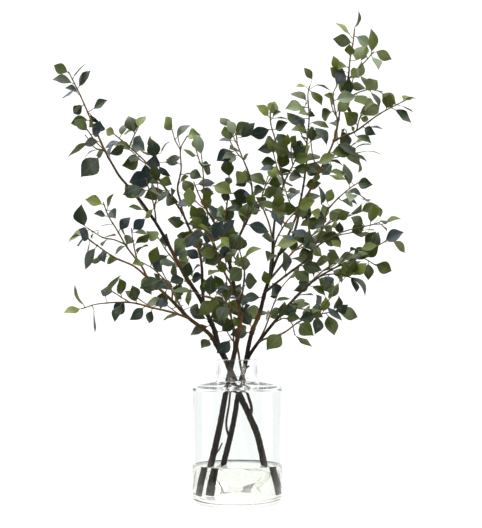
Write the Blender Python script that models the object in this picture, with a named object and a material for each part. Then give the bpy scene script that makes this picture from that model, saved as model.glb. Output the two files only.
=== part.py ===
"""Three cut camellia branches in a clear glass bottle vase, at real size.

The vase is a straight body with a short neck, filled to a third with water. The
branches stand on its floor, cross in its neck and fan out above it. Each branch is
one solid: its wood, its twigs and all its leaves grew together. Run it with
blender --background --python part.py
"""

import math
import random

import bmesh
import bpy
from mathutils import Matrix, Vector
from mathutils.bvhtree import BVHTree

# Sizes below are in millimetres, and MM brings them to metres
MM = 0.001

# Vase
VASE_RADIUS = 76.5
VASE_WALL = 3.6
NECK_RADIUS = 36.0
RIM_HEIGHT = 244.0
NECK_FOOT_HEIGHT = 206.0
SHOULDER_HEIGHT = 192.0
SHOULDER_ROUND = 8.0
HEEL_ROUND = 13.0
FLOOR_THICKNESS = 11.0
FOOT_RING_RADIUS = 60.0
AROUND = 40

# Water
WATER_HEIGHT = 65.0
SEAT_GAP = 0.3
STEM_HOLE_GAP = 0.6
HOLE_SIDES = 12

# The eye that the branches are drawn for: a point at (across, height, depth) is on
# its line through (across, height) of the upright plane that holds the vase's axis
EYE = Vector((6.3, -2150.0, 299.0))

# Wood
SECTION_LENGTH = 36.0
BOUGH_SIDES = 7
BRANCH_SIDES = 5
TWIG_SIDES = 3
BOUGH_RADIUS = 3.4
BRANCH_RADIUS = 1.9

# Leaves
LEAF_LENGTH = 35.0
LEAF_WIDTH_SHARE = 0.78
LEAF_HALF_THICKNESS = 0.6
LEAF_GAP = 120.0
LEAF_STEP = 3.0
DRAWN_LEAF_ROOM = 18.0
LEAF_CLEARANCE = 0.7
BLADE_RINGS = (0.25, 0.64)
PETIOLE_LENGTH = 4.0
PETIOLE_RADIUS = 0.5
ROOT_DEPTH = 3.0
GOLDEN_ANGLE = math.radians(137.5)
SEED = 11

# Each bough: radius at its foot and tip, the leafy share of its length counted from
# the tip, the number of short spurs on it, and its route as (across, height, depth)
LEFT = "branch_left"
CENTRE = "branch_centre"
RIGHT = "branch_right"
BOUGHS = {
    LEFT: (
        # The stem through the neck, and the long bough to the top left
        (6.0, 4.8, 0, 0, ((57, 14, 2), (46, 65, 2), (32, 122, 2), (5, 182, 0), (-13, 225, 0),
            (-22, 247, -2), (-36, 270, -4))),
        (4.2, 0.9, 0.3, 2, ((-33, 262, -3), (-38, 290, -2), (-50, 318, 0), (-67, 353, 5), (-88, 384, 5),
            (-127, 456, 0), (-146, 487, -5), (-172, 523, -10), (-201, 556, -14), (-229, 604, -18),
            (-250, 650, -16), (-273, 702, -10), (-291, 738, -6))),
        (1.3, 0.8, 0.7, 0, ((-229, 604, -18), (-246, 608, -30), (-261, 628, -40))),
        # The bough that climbs the middle left
        (2.9, 1.9, 0.25, 1, ((-46, 310, -1), (-56, 330, 14), (-60, 365, 26), (-61, 401, 34),
            (-66, 430, 38), (-79, 460, 40), (-95, 497, 40))),
        (2.0, 0.9, 0.85, 1, ((-95, 497, 40), (-98, 515, 46), (-103, 538, 50), (-97, 570, 52),
            (-98, 605, 50), (-88, 626, 44))),
        (2.0, 0.9, 0.8, 1, ((-93, 495, 40), (-112, 521, 30), (-127, 542, 26), (-153, 578, 20),
            (-189, 612, 12), (-212, 631, 8))),
        (1.2, 0.8, 0.7, 0, ((-186, 610, 12), (-179, 628, 2), (-172, 642, -6))),
        (1.3, 0.8, 0.7, 0, ((-136, 555, 24), (-140, 578, 34), (-141, 599, 40))),
        (1.6, 0.8, 0.6, 0, ((-140, 477, -3), (-143, 505, -26), (-152, 535, -36), (-157, 552, -40))),
        (1.3, 0.8, 0.7, 0, ((-143, 505, -26), (-137, 530, -38), (-138, 549, -44))),
        # The bough that leans out to the left
        (3.8, 2.1, 0, 1, ((-36, 270, -4), (-50, 289, -8), (-84, 315, -16), (-112, 344, -22),
            (-155, 384, -26))),
        (1.9, 0.9, 0.55, 1, ((-152, 382, -26), (-177, 403, -32), (-210, 418, -40), (-241, 439, -44),
            (-265, 458, -46))),
        (1.9, 0.9, 0.55, 1, ((-155, 384, -26), (-165, 404, -18), (-189, 435, -6), (-206, 464, 4),
            (-222, 490, 8), (-230, 511, 10))),
        (1.4, 0.8, 0.6, 0, ((-194, 440, -4), (-212, 449, -16), (-232, 453, -20), (-256, 468, -22))),
        (1.4, 0.8, 0.6, 0, ((-166, 406, -17), (-173, 418, -34), (-179, 444, -46), (-182, 466, -50))),
        (1.6, 0.8, 0.6, 0, ((-112, 344, -22), (-114, 366, -42), (-141, 396, -58), (-162, 409, -64))),
        (2.2, 0.8, 0.6, 1, ((-80, 312, -15), (-91, 317, -30), (-115, 325, -46), (-146, 332, -56),
            (-184, 341, -62), (-236, 339, -64), (-265, 331, -62))),
        # A thin shoot that leaves its stem inside the vase
        (2.7, 1.0, 0.3, 0, ((22, 146, 2), (24, 163, 0), (15, 194, -1), (6, 229, 0), (2, 255, 2),
            (-4, 290, 10), (-14, 325, 18), (-24, 360, 22))),
        # Two boughs that lean away from the eye
        (2.6, 0.9, 0.6, 1, ((-60, 335, 12), (-74, 362, 48), (-92, 395, 84), (-118, 425, 112),
            (-136, 452, 130))),
        (2.0, 0.9, 0.6, 1, ((-84, 315, -16), (-96, 332, 22), (-113, 364, 58), (-128, 392, 84))),
    ),
    CENTRE: (
        # The stem and its trunk
        (6.1, 2.7, 0, 1, ((-57, 12, -14), (-45, 64, -14), (-31, 125, -14), (-19, 191, -14),
            (-10, 232, -14), (-2, 268, -14), (4, 300, -14), (5, 328, -15), (-3, 358, -16),
            (-10, 392, -18), (-14, 414, -20))),
        # A snapped side stub above the water
        (1.8, 1.1, 0, 0, ((-40, 80, -14), (-32, 89, -12), (-27, 99, -10))),
        (2.6, 0.9, 0.8, 1, ((-14, 412, -20), (-21, 435, -28), (-35, 470, -34), (-54, 502, -38),
            (-66, 526, -40), (-74, 546, -42))),
        (1.6, 0.8, 0.85, 0, ((-52, 499, -38), (-58, 520, -52), (-58, 548, -62), (-60, 576, -66),
            (-62, 596, -68))),
        (2.8, 1.8, 0.3, 1, ((-14, 412, -20), (-7, 432, -16), (7, 463, -10), (22, 492, -6))),
        (1.8, 0.9, 0.8, 1, ((20, 488, -7), (26, 520, -12), (22, 556, -18), (10, 588, -22),
            (1, 612, -24), (-2, 632, -24))),
        (1.4, 0.8, 0.6, 0, ((22, 492, -6), (33, 512, -30), (44, 525, -44))),
        (2.0, 0.9, 0.85, 1, ((-12, 400, -19), (-22, 432, 4), (-22, 470, 18), (-18, 510, 26),
            (-14, 545, 28), (-16, 584, 26))),
        (1.6, 0.8, 0.7, 0, ((-10, 388, -18), (-30, 414, -48), (-38, 438, -66), (-44, 458, -76))),
        (1.3, 0.8, 0.7, 0, ((-37, 473, -34), (-56, 468, -60), (-72, 463, -76), (-89, 452, -88))),
        (2.2, 0.9, 0.6, 0, ((3, 336, -15), (10, 366, -52), (12, 398, -84), (4, 430, -108))),
        (2.2, 0.9, 0.6, 2, ((-5, 362, -16), (-22, 392, 16), (-36, 425, 56), (-48, 462, 88),
            (-52, 500, 106))),
        (1.6, 0.8, 0.7, 0, ((5, 322, -15), (-12, 336, -44), (-30, 345, -66), (-52, 352, -84))),
    ),
    RIGHT: (
        # The stem, and the thick bough that rises over the rim
        (5.4, 2.7, 0, 0, ((-33, 15, 14), (-23, 68, 14), (-11, 117, 14), (-4, 151, 14), (1, 182, 14),
            (12, 225, 14), (20, 270, 14), (27, 296, 13), (38, 322, 12), (48, 361, 11), (58, 392, 10),
            (61, 425, 10), (61, 452, 10))),
        (2.3, 0.9, 0.75, 1, ((61, 450, 10), (65, 487, 4), (72, 516, 0), (82, 550, -6), (96, 578, -12),
            (104, 595, -14))),
        (1.8, 0.9, 0.8, 0, ((81, 546, -5), (72, 581, 10), (67, 616, 20), (58, 648, 26), (57, 668, 28))),
        (1.2, 0.8, 0.7, 0, ((73, 577, 8), (77, 592, -10), (81, 608, -18))),
        (1.8, 0.9, 0.5, 1, ((61, 448, 10), (54, 478, 34), (42, 512, 48), (46, 536, 54), (56, 554, 56))),
        # A thin shoot that leaves its stem inside the vase
        (2.1, 0.9, 0.35, 0, ((-13, 108, 14), (-19, 134, 21), (-14, 169, 24), (-9, 229, 24), (-6, 262, 27),
            (-8, 300, 38), (-14, 345, 54), (-20, 390, 66))),
        # The two long shoots to the top right
        (2.5, 0.9, 0.6, 2, ((58, 392, 10), (70, 421, 18), (88, 458, 26), (103, 495, 32), (113, 538, 34),
            (119, 581, 34), (120, 616, 32), (124, 659, 28), (122, 697, 24), (124, 712, 22))),
        (2.5, 1.0, 0.55, 2, ((72, 424, 18), (84, 436, 2), (98, 462, -10), (110, 505, -16),
            (127, 538, -20), (141, 566, -24), (155, 593, -26), (167, 622, -26), (175, 657, -24),
            (180, 695, -22), (192, 730, -20), (195, 760, -18), (200, 788, -16), (203, 812, -15))),
        (1.2, 0.8, 0.7, 0, ((115, 555, 34), (116, 576, 12), (110, 593, 2))),
        (1.3, 0.8, 0.7, 0, ((174, 652, -24), (168, 678, -40), (166, 702, -48), (172, 716, -50))),
        (1.3, 0.8, 0.7, 0, ((179, 685, -22), (195, 703, -6), (200, 728, 2))),
        (1.5, 0.8, 0.6, 0, ((190, 724, -20), (206, 743, -34), (223, 760, -42), (234, 773, -44))),
        (1.3, 0.8, 0.7, 0, ((178, 682, -23), (197, 698, -44), (225, 709, -56), (248, 706, -60))),
        (1.9, 0.8, 0.55, 1, ((167, 620, -26), (186, 629, -46), (206, 638, -58), (246, 667, -66),
            (289, 690, -68))),
        (1.6, 0.8, 0.6, 0, ((119, 578, 34), (146, 585, 54), (177, 593, 68), (210, 600, 76))),
        # The dense middle right
        (2.2, 1.2, 0.7, 1, ((48, 358, 11), (66, 374, -16), (92, 394, -34), (119, 415, -44),
            (134, 440, -50), (146, 468, -54), (156, 506, -56))),
        (1.4, 0.8, 0.65, 0, ((155, 500, -56), (174, 521, -66), (194, 538, -70), (206, 546, -72))),
        (1.2, 0.8, 0.7, 0, ((186, 531, -69), (204, 530, -82), (224, 517, -90))),
        (1.6, 0.8, 0.65, 0, ((130, 432, -48), (150, 446, -70), (172, 456, -82), (196, 461, -90))),
        (1.5, 0.8, 0.65, 0, ((146, 468, -54), (162, 480, -30), (186, 488, -16), (212, 497, -8))),
        (1.4, 0.8, 0.65, 0, ((150, 446, -70), (180, 462, -98), (215, 471, -112), (237, 476, -116))),
        # The long low bough to the right
        (3.3, 1.0, 0.65, 1, ((14, 236, 14), (24, 256, 10), (46, 286, 0), (74, 320, -10),
            (103, 353, -16), (136, 382, -20), (174, 404, -22), (206, 420, -22), (219, 440, -20))),
        (1.3, 0.8, 0.7, 0, ((146, 388, -20), (168, 390, -44), (190, 387, -54))),
        (1.3, 0.8, 0.7, 0, ((196, 414, -22), (216, 417, 4), (236, 406, 14))),
        (1.3, 0.8, 0.7, 0, ((206, 420, -22), (226, 430, -46), (254, 446, -60))),
        (1.9, 0.8, 0.55, 1, ((36, 270, 5), (46, 278, -26), (79, 289, -52), (106, 308, -64),
            (139, 320, -70), (168, 326, -72))),
        (1.3, 0.8, 0.7, 0, ((62, 306, -6), (80, 314, -32), (93, 306, -48), (98, 288, -56))),
        (1.7, 0.8, 0.6, 0, ((34, 268, 6), (48, 298, 34), (60, 332, 56), (74, 364, 72), (92, 386, 82))),
        (1.4, 0.8, 0.65, 0, ((76, 322, -11), (96, 331, 12), (121, 329, 30), (150, 330, 44))),
        # Two boughs that lean away from the eye, and one that leans towards it
        (2.4, 0.9, 0.6, 1, ((53, 378, 10), (74, 402, 48), (98, 430, 88), (128, 456, 118),
            (152, 484, 138))),
        (2.0, 0.9, 0.6, 1, ((104, 354, -16), (122, 372, 24), (148, 396, 58), (178, 416, 84))),
        (2.2, 0.9, 0.6, 1, ((55, 384, 10), (58, 414, -34), (66, 446, -72), (82, 476, -100),
            (104, 502, -118))),
    ),
}

# Leaves that show plainly: base (across, height) and the way to the tip
DRAWN_LEAVES = {
    LEFT: (
        (-294, 740, -24, 12), (-286, 729, 24, 26), (-275, 712, 21, 31), (-287, 721, -34, 5),
        (-280, 710, -24, -17), (-267, 685, -17, -17), (-248, 676, 24, 15), (-258, 674, 21, -22),
        (-258, 655, -30, -5), (-258, 616, -36, -26), (-210, 631, -17, 9), (-200, 630, 10, 22),
        (-172, 642, -28, -12), (-173, 643, 15, 20), (-201, 619, -28, -12), (-141, 599, -9, 31),
        (-144, 597, -26, 10), (-131, 599, 19, 22), (-98, 607, -3, 33), (-86, 630, 24, 0),
        (-144, 562, -43, -14), (-155, 535, -36, -10), (-139, 511, 24, 24), (-81, 538, 0, -33),
        (-230, 511, -33, 7), (-224, 501, 12, 28), (-263, 473, -5, 38), (-256, 468, -36, -26),
        (-244, 437, -17, -40), (-230, 435, 2, -26), (-189, 451, -9, 33), (-182, 464, 24, 21),
        (-182, 463, 33, -9), (-146, 404, 9, 34), (-270, 330, -28, -7), (-260, 335, -19, 38),
        (-246, 329, 2, -40), (-227, 349, 28, 40), (-205, 346, -28, 22), (-198, 341, -12, -34),
        (-146, 329, -5, -24), (-144, 334, 26, 7), (-155, 382, 9, -28), (-98, 366, -38, 3),
        (-48, 301, -33, -17), (-46, 280, -16, -18), (-124, 583, 27, 9), (-124, 569, -24, 12),
        (-138, 580, 24, -22), (-110, 564, 36, -5), (-107, 547, 24, 12), (-155, 557, 19, -12),
        (-134, 556, 22, -12), (-140, 507, -19, -22), (-79, 497, -27, -14), (-76, 413, -22, 26),
        (-100, 377, -9, 34), (-91, 368, 9, 43), (-83, 370, 0, -36), (-90, 344, -15, 10),
        (-114, 329, 26, 7), (-81, 335, 15, -7), (-54, 318, -29, 9), (-37, 311, 2, 40),
        (-31, 313, 27, 34), (-26, 292, 24, 21), (-79, 382, 22, 3), (-76, 378, 15, -12),
        (-19, 292, 24, 24), (-222, 488, -26, 5), (-218, 502, 9, -17), (-246, 478, -3, -28),
        (-241, 480, 3, -21), (-213, 475, -22, -3), (-189, 442, -21, -21), (-222, 452, -10, -15),
        (-230, 451, 22, 5), (-266, 451, -7, -14), (-273, 456, -19, -9), (-203, 418, -21, -9),
        (-162, 409, -19, -2), (-155, 384, -2, -22),
    ),
    CENTRE: (
        (-2, 630, -16, 26), (7, 626, 24, 26), (24, 559, -28, -16), (24, 559, 28, -16),
        (-12, 411, 36, -5), (15, 476, 40, -14), (44, 341, -40, 5), (-74, 545, 36, 2),
        (-66, 535, 26, -7), (-62, 516, 21, 17), (-40, 542, 31, -15), (-13, 518, 24, -14),
        (-7, 530, 36, -10), (-28, 501, 36, -3), (-25, 513, 9, 19), (-16, 559, 2, 28),
        (-19, 576, 10, 22), (-25, 535, 14, 21), (-26, 592, 24, -2), (5, 578, 15, 21),
        (13, 566, 34, -24), (10, 566, -12, -21), (-42, 418, -29, -14), (-28, 458, 17, -36),
        (-28, 461, 17, 15), (-49, 344, 5, 45), (-35, 356, 24, 12), (-31, 397, -19, -10),
        (6, 322, 17, 15),
    ),
    RIGHT: (
        (57, 643, -36, -12), (58, 660, 36, -5), (67, 636, 16, -28), (65, 607, -31, -3),
        (45, 526, 41, -3), (203, 817, 7, 31), (198, 800, -29, 26), (205, 803, 24, -16),
        (205, 759, 22, 33), (234, 774, -3, 43), (240, 776, 28, -14), (232, 769, 12, -26),
        (174, 741, -8, 28), (169, 714, 14, 30), (132, 724, -17, 24), (131, 717, -30, -3),
        (129, 721, 36, -17), (124, 709, 22, -28), (169, 693, 38, 5), (213, 733, 15, -28),
        (230, 705, 15, -28), (251, 702, 26, -21), (208, 662, 38, 19), (186, 685, 12, -38),
        (287, 690, 24, 2), (280, 683, 24, -14), (273, 674, 28, -24), (224, 645, 28, -5),
        (222, 602, 30, -9), (208, 590, 0, -26), (158, 561, 31, -9), (193, 542, -10, 40),
        (208, 547, 26, -3), (179, 516, 28, -7), (229, 476, 3, 38), (249, 480, -9, 28),
        (255, 476, 28, 8), (251, 447, 36, 15), (268, 446, 20, -20), (243, 439, -31, -7),
        (201, 389, 22, 20), (191, 387, 28, -36), (196, 384, 8, -26), (174, 372, -19, -24),
        (143, 382, 26, -19), (136, 320, -31, -9), (148, 322, 3, 30), (174, 325, 33, -9),
        (139, 320, -7, -34), (156, 318, 10, -34), (76, 287, -26, -28), (100, 284, 28, -19),
        (43, 284, -31, -14), (57, 344, 36, 3), (62, 452, 46, -34), (46, 535, 39, -2), (49, 545, 31, 3),
        (42, 530, -15, 10), (108, 595, -29, -3), (108, 595, -2, 28), (60, 554, 5, 17),
        (61, 451, 33, -29), (188, 561, -31, 5), (144, 509, -5, 34), (154, 513, 9, 24),
        (193, 494, 21, 19), (243, 485, 19, -15), (238, 482, 19, -19), (211, 463, 26, 2),
        (205, 420, -29, -2), (169, 415, -14, 17), (123, 468, -7, -34), (138, 458, 14, -22),
        (156, 452, 22, -17), (121, 516, -9, -33), (142, 492, -17, 5), (154, 483, -7, 28),
        (190, 492, -29, 7), (130, 483, -22, -10), (130, 470, 22, 2), (173, 483, -19, -17),
        (178, 452, -2, 24), (108, 408, 38, -12), (135, 409, 26, 7), (187, 387, -7, 24),
        (197, 389, 5, 26), (217, 523, -27, 10), (217, 521, 7, -7), (197, 452, -5, 21),
        (54, 667, 10, 17), (58, 657, 22, 15), (66, 640, 22, 12), (113, 678, -31, -3), (113, 674, 5, 14),
        (121, 669, -22, -2), (121, 657, 3, 17), (116, 659, -22, -10), (123, 640, -31, -2),
        (126, 652, 33, -10), (132, 643, 22, -31), (164, 621, 9, 17), (130, 544, 10, 22),
        (161, 583, -17, -22), (193, 748, -19, -5), (211, 743, -14, -14), (205, 662, 22, -5),
        (193, 698, -15, 17), (219, 642, 22, -12), (199, 621, -17, 21), (207, 624, -10, 22),
        (199, 607, 34, 5), (205, 602, 14, 36), (173, 614, 31, -19), (205, 595, -17, 17),
        (205, 593, 19, -9), (32, 316, 19, 9), (56, 368, -10, 28), (89, 341, 9, -12),
        (123, 378, -27, -17), (90, 378, 17, 26), (20, 294, -33, -9), (20, 298, -12, 29),
        (185, 375, -14, 10), (142, 320, -7, 19), (142, 334, -7, 21), (164, 329, 10, 24),
        (168, 327, 21, 10),
    ),
}

# Colours, as sRGB hex values
GLASS_COLOUR = "E9EFEE"
WATER_COLOUR = "E4E6D2"
LEAF_COLOUR = "3D4C30"


def linear(hex_colour):
    """The linear RGBA of an sRGB hex value."""
    parts = [int(hex_colour[i:i + 2], 16) / 255 for i in (0, 2, 4)]
    return [c / 12.92 if c <= 0.04045 else ((c + 0.055) / 1.055) ** 2.4 for c in parts] + [1.0]


def material(name, hex_colour, roughness, transmission=0.0, ior=1.45):
    """A Principled material with one colour."""
    made = bpy.data.materials.new(name)
    made.use_nodes = True
    shader = made.node_tree.nodes["Principled BSDF"]
    shader.inputs["Base Color"].default_value = linear(hex_colour)
    shader.inputs["Roughness"].default_value = roughness
    shader.inputs["Transmission Weight"].default_value = transmission
    shader.inputs["IOR"].default_value = ior
    return made


def add_object(name, points, faces, collection=None):
    """A mesh object from points in millimetres, put at the scene's origin."""
    mesh = bpy.data.meshes.new(name)
    mesh.from_pydata([Vector(p) * MM for p in points], [], faces)
    made = bpy.data.objects.new(name, mesh)
    (collection or bpy.context.scene.collection).objects.link(made)
    return made


def arc(centre, radius, start, end, steps):
    """Profile points (out, height) on an arc, from one angle in degrees to another."""
    angles = [math.radians(start + (end - start) * i / steps) for i in range(steps + 1)]
    return [(centre[0] + radius * math.cos(a), centre[1] + radius * math.sin(a)) for a in angles]


def lathe(name, profile, finish):
    """The solid turned from a closed profile that starts and ends on the vase's axis."""
    points = [(0, 0, profile[0][1])]
    for out, height in profile[1:-1]:
        for i in range(AROUND):
            angle = math.tau * i / AROUND
            points.append((out * math.cos(angle), out * math.sin(angle), height))
    points.append((0, 0, profile[-1][1]))
    last = len(points) - 1
    faces = []
    for i in range(AROUND):
        after = (i + 1) % AROUND
        faces.append((0, 1 + after, 1 + i))
        for ring in range(len(profile) - 3):
            low = 1 + ring * AROUND
            faces.append((low + i, low + after, low + AROUND + after, low + AROUND + i))
        top = 1 + (len(profile) - 3) * AROUND
        faces.append((top + i, top + after, last))
    made = add_object(name, points, faces)
    made.data.materials.append(finish)
    made.data.shade_smooth()
    return made


def vase_profile():
    """The glass from the middle of its underside, up the outside, and down the inside."""
    bead = 1.4
    inner = VASE_RADIUS - VASE_WALL
    neck_inner = NECK_RADIUS - VASE_WALL
    shoulder_inner = SHOULDER_ROUND - 3.0
    heel_inner = 9.0
    heel = arc((VASE_RADIUS - HEEL_ROUND, HEEL_ROUND), HEEL_ROUND, -70, 0, 2)
    corner = arc((VASE_RADIUS - SHOULDER_ROUND, SHOULDER_HEIGHT), SHOULDER_ROUND, 0, 80, 2)
    ring = [(NECK_RADIUS, NECK_FOOT_HEIGHT), (NECK_RADIUS + bead, NECK_FOOT_HEIGHT + bead),
            (NECK_RADIUS, NECK_FOOT_HEIGHT + 2 * bead)]
    rim = arc((NECK_RADIUS - VASE_WALL / 2, RIM_HEIGHT - VASE_WALL / 2), VASE_WALL / 2, 0, 180, 3)
    under = [(neck_inner, NECK_FOOT_HEIGHT - VASE_WALL + 1.0)]
    inner_corner = arc((inner - shoulder_inner, SHOULDER_HEIGHT - 2.0), shoulder_inner, 80, 0, 1)
    inner_heel = arc((inner - heel_inner, FLOOR_THICKNESS + heel_inner), heel_inner, 0, -90, 2)
    foot = [(0, 0), (FOOT_RING_RADIUS, 0)]
    return foot + heel + corner + ring + rim + under + inner_corner + inner_heel + [(0, FLOOR_THICKNESS)]


def water_profile():
    """The water from the middle of the floor, out, up the wall and back over its surface."""
    out = VASE_RADIUS - VASE_WALL - SEAT_GAP
    heel = 9.0
    low = FLOOR_THICKNESS + SEAT_GAP
    curve = arc((out - heel, low + heel), heel, -90, 0, 2)
    return [(0, low)] + curve + [(out, WATER_HEIGHT), (0, WATER_HEIGHT)]


def seen(across, height, depth):
    """The point at a depth behind the axis plane that the eye sees at (across, height)."""
    drawn = Vector((across, 0.0, height))
    return EYE + (drawn - EYE) * ((depth - EYE.y) / -EYE.y)


def smooth_route(points, step):
    """Points a step apart on the smooth curve through the route's own points."""
    ends = [points[0] * 2 - points[1]] + points + [points[-1] * 2 - points[-2]]
    route = []
    for a, b, c, d in zip(ends, ends[1:], ends[2:], ends[3:]):
        pieces = max(1, round((c - b).length / step))
        for i in range(pieces):
            t = i / pieces
            route.append(((b * 2) + (c - a) * t + (a * 2 - b * 5 + c * 4 - d) * t ** 2
                          + (b * 3 - a - c * 3 + d) * t ** 3) / 2)
    return route + [points[-1]]


def steps_along(route, step):
    """Points at even steps along the straight sections of a route."""
    steps = []
    for a, b in zip(route, route[1:]):
        pieces = max(1, round((b - a).length / step))
        steps += [a.lerp(b, i / pieces) for i in range(pieces)]
    return steps + [route[-1]]


def across_from(axis):
    """Two directions at right angles to an axis and to each other."""
    side = axis.cross(Vector((0.31, 0.17, 0.93)))
    side.normalize()
    return side, axis.cross(side).normalized()


def corner_share(sides):
    """How far out a polygon's corners stand, against the circle of the same area."""
    return math.sqrt(math.tau / (sides * math.sin(math.tau / sides)))


def tube(route, radii, sides):
    """A closed tube of (points, faces) along a route, with a radius at each point."""
    points = []
    wider = corner_share(sides)
    side = None
    for i, centre in enumerate(route):
        axis = (route[min(i + 1, len(route) - 1)] - route[max(i - 1, 0)]).normalized()
        if side is None:
            side, _ = across_from(axis)
        side = (side - axis * side.dot(axis)).normalized()
        up = axis.cross(side)
        for k in range(sides):
            angle = math.tau * k / sides
            points.append(centre + (side * math.cos(angle) + up * math.sin(angle)) * radii[i] * wider)
    faces = [tuple(reversed(range(sides)))]
    for i in range(len(route) - 1):
        for k in range(sides):
            after = (k + 1) % sides
            low = i * sides
            faces.append((low + k, low + after, low + sides + after, low + sides + k))
    faces.append(tuple(range(len(points) - sides, len(points))))
    return points, faces


def outline_share(along):
    """A leaf's half width at a share of its length, against its widest."""
    return math.sin(math.pi * along ** 0.8) ** 0.9 * (1 - 0.3 * along ** 4)


def leaf_solid(leaf, swell=0.0):
    """A closed blade on its petiole: points and faces, split alike above and below."""
    base, tip, normal = leaf["base"], leaf["tip"], leaf["normal"]
    chord = tip - base
    side = chord.normalized().cross(normal)
    half = leaf["width"] / 2 + swell
    thick = LEAF_HALF_THICKNESS + swell
    points = []
    stalk = base - leaf["root"]
    stalk_side = (side - stalk.normalized() * side.dot(stalk.normalized())).normalized()
    stalk_up = stalk_side.cross(stalk).normalized()
    points += [leaf["root"] + stalk_up * PETIOLE_RADIUS, leaf["root"] - stalk_up * PETIOLE_RADIUS]
    for along in BLADE_RINGS:
        middle = base + chord * along + normal * leaf["arch"] * 4 * along * (1 - along)
        reach = half * outline_share(along)
        lift = normal * leaf["fold"] * reach
        points += [middle - side * reach + lift, middle + normal * thick,
                   middle + side * reach + lift, middle - normal * thick]
    points.append(tip)
    faces = [(0, 3, 2), (0, 2, 1), (1, 2, 5), (0, 4, 3), (0, 1, 4), (1, 5, 4)]
    faces += [(2, 3, 7), (2, 7, 6), (3, 4, 7), (4, 8, 7), (4, 5, 9), (4, 9, 8), (5, 2, 9), (2, 6, 9)]
    faces += [(6, 7, 10), (7, 8, 10), (8, 9, 10), (9, 6, 10)]
    return points, faces


class Grown:
    """A solid already in place, kept to see what a new one would run into."""

    def __init__(self, owner, kind, points, faces):
        self.owner = owner
        self.kind = kind
        self.tree = BVHTree.FromPolygons(points, faces)
        self.low = [min(p[i] for p in points) for i in range(3)]
        self.high = [max(p[i] for p in points) for i in range(3)]

    def meets(self, other):
        apart = any(self.high[i] < other.low[i] or other.high[i] < self.low[i] for i in range(3))
        return not apart and bool(self.tree.overlap(other.tree))


def clear_of(points, faces, owner, grown, own_wood):
    """Whether a solid misses all that is in place, its own branch's wood aside if asked."""
    new = Grown(owner, "new", points, faces)
    return not any(new.meets(other) for other in grown
                   if own_wood or other.owner != owner or other.kind == "leaf")


def fit_leaf(owner, leaf, grown, draw, bend_tip):
    """Turns and tilts a leaf until its blade is clear, and says whether it came to fit."""
    chord = leaf["tip"] - leaf["base"]
    first = leaf["normal"]
    for attempt in range(12):
        if attempt:
            turn = Matrix.Rotation(draw.uniform(-0.9, 0.9), 3, chord.normalized())
            leaf["normal"] = turn @ first
            tilt = Matrix.Rotation(draw.uniform(-0.5, 0.5), 3, bend_tip)
            leaf["tip"] = leaf["base"] + tilt @ chord * (1 - 0.02 * attempt)
        direction = (leaf["tip"] - leaf["base"]).normalized()
        leaf["normal"] = (leaf["normal"] - direction * leaf["normal"].dot(direction)).normalized()
        points, faces = leaf_solid(leaf, LEAF_CLEARANCE)
        blade = [f for f in faces if min(f) >= 2]
        if not clear_of(points, blade, owner, grown, True):
            continue
        if clear_of(points, faces, owner, [g for g in grown if g.owner != owner], True):
            points, faces = leaf_solid(leaf)
            grown.append(Grown(owner, "leaf", points, faces))
            return True
    return False


def facing(direction, outward, draw):
    """A leaf's upper side: it looks up and outward, turned a little by chance."""
    normal = Vector((0, 0, 0.45)) + outward
    normal = normal - direction * normal.dot(direction)
    if normal.length < 0.2:
        normal, _ = across_from(direction)
    return Matrix.Rotation(draw.gauss(0, 0.4), 3, direction) @ normal.normalized()


def new_leaf(root, base, tip, outward, draw):
    """A leaf's own sizes, drawn near those of its kind."""
    chord = tip - base
    length = chord.length
    return {
        "root": root, "base": base, "tip": tip,
        "normal": facing(chord.normalized(), outward, draw),
        "width": length * LEAF_WIDTH_SHARE * draw.uniform(0.88, 1.1),
        "arch": length * draw.uniform(0.02, 0.17),
        "fold": draw.uniform(-0.15, 0.4),
    }


def outward_at(point):
    """The level direction from the middle of the spray, which shifts to a bough's side."""
    away = Vector((point.x * 0.45, point.y - 70.0, 0.0))
    return away.normalized() if away.length > 1 else Vector((0, -1, 0))


def sides_for(radius):
    """The number of sides of a tube, more for thicker wood."""
    if radius >= BOUGH_RADIUS:
        return BOUGH_SIDES
    return BRANCH_SIDES if radius >= BRANCH_RADIUS else TWIG_SIDES


def on_wood(shoots, point):
    """The place on the wood grown so far that is nearest to a point."""
    best = point
    least = math.inf
    for shoot in shoots:
        for a, b in zip(shoot["route"], shoot["route"][1:]):
            share = min(1.0, max(0.0, (point - a).dot(b - a) / (b - a).length_squared))
            place = a.lerp(b, share)
            if (place - point).length < least:
                best, least = place, (place - point).length
    return best


def grow_boughs(owner, grown):
    """The wood of one branch as drawn: a list of shoots with their routes and radii."""
    shoots = []
    for foot_radius, tip_radius, leafy, spurs, drawn in BOUGHS[owner]:
        points = [seen(*p) for p in drawn]
        points[0] = on_wood(shoots, points[0])
        route = smooth_route(points, SECTION_LENGTH)
        last = len(route) - 1
        radii = [foot_radius + (tip_radius - foot_radius) * i / last for i in range(last + 1)]
        points, faces = tube(route, radii, sides_for(foot_radius))
        shoots.append({"route": route, "radii": radii, "leafy": leafy, "spurs": spurs,
                       "points": points, "faces": faces})
        grown.append(Grown(owner, "wood", points, faces))
    return shoots


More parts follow.
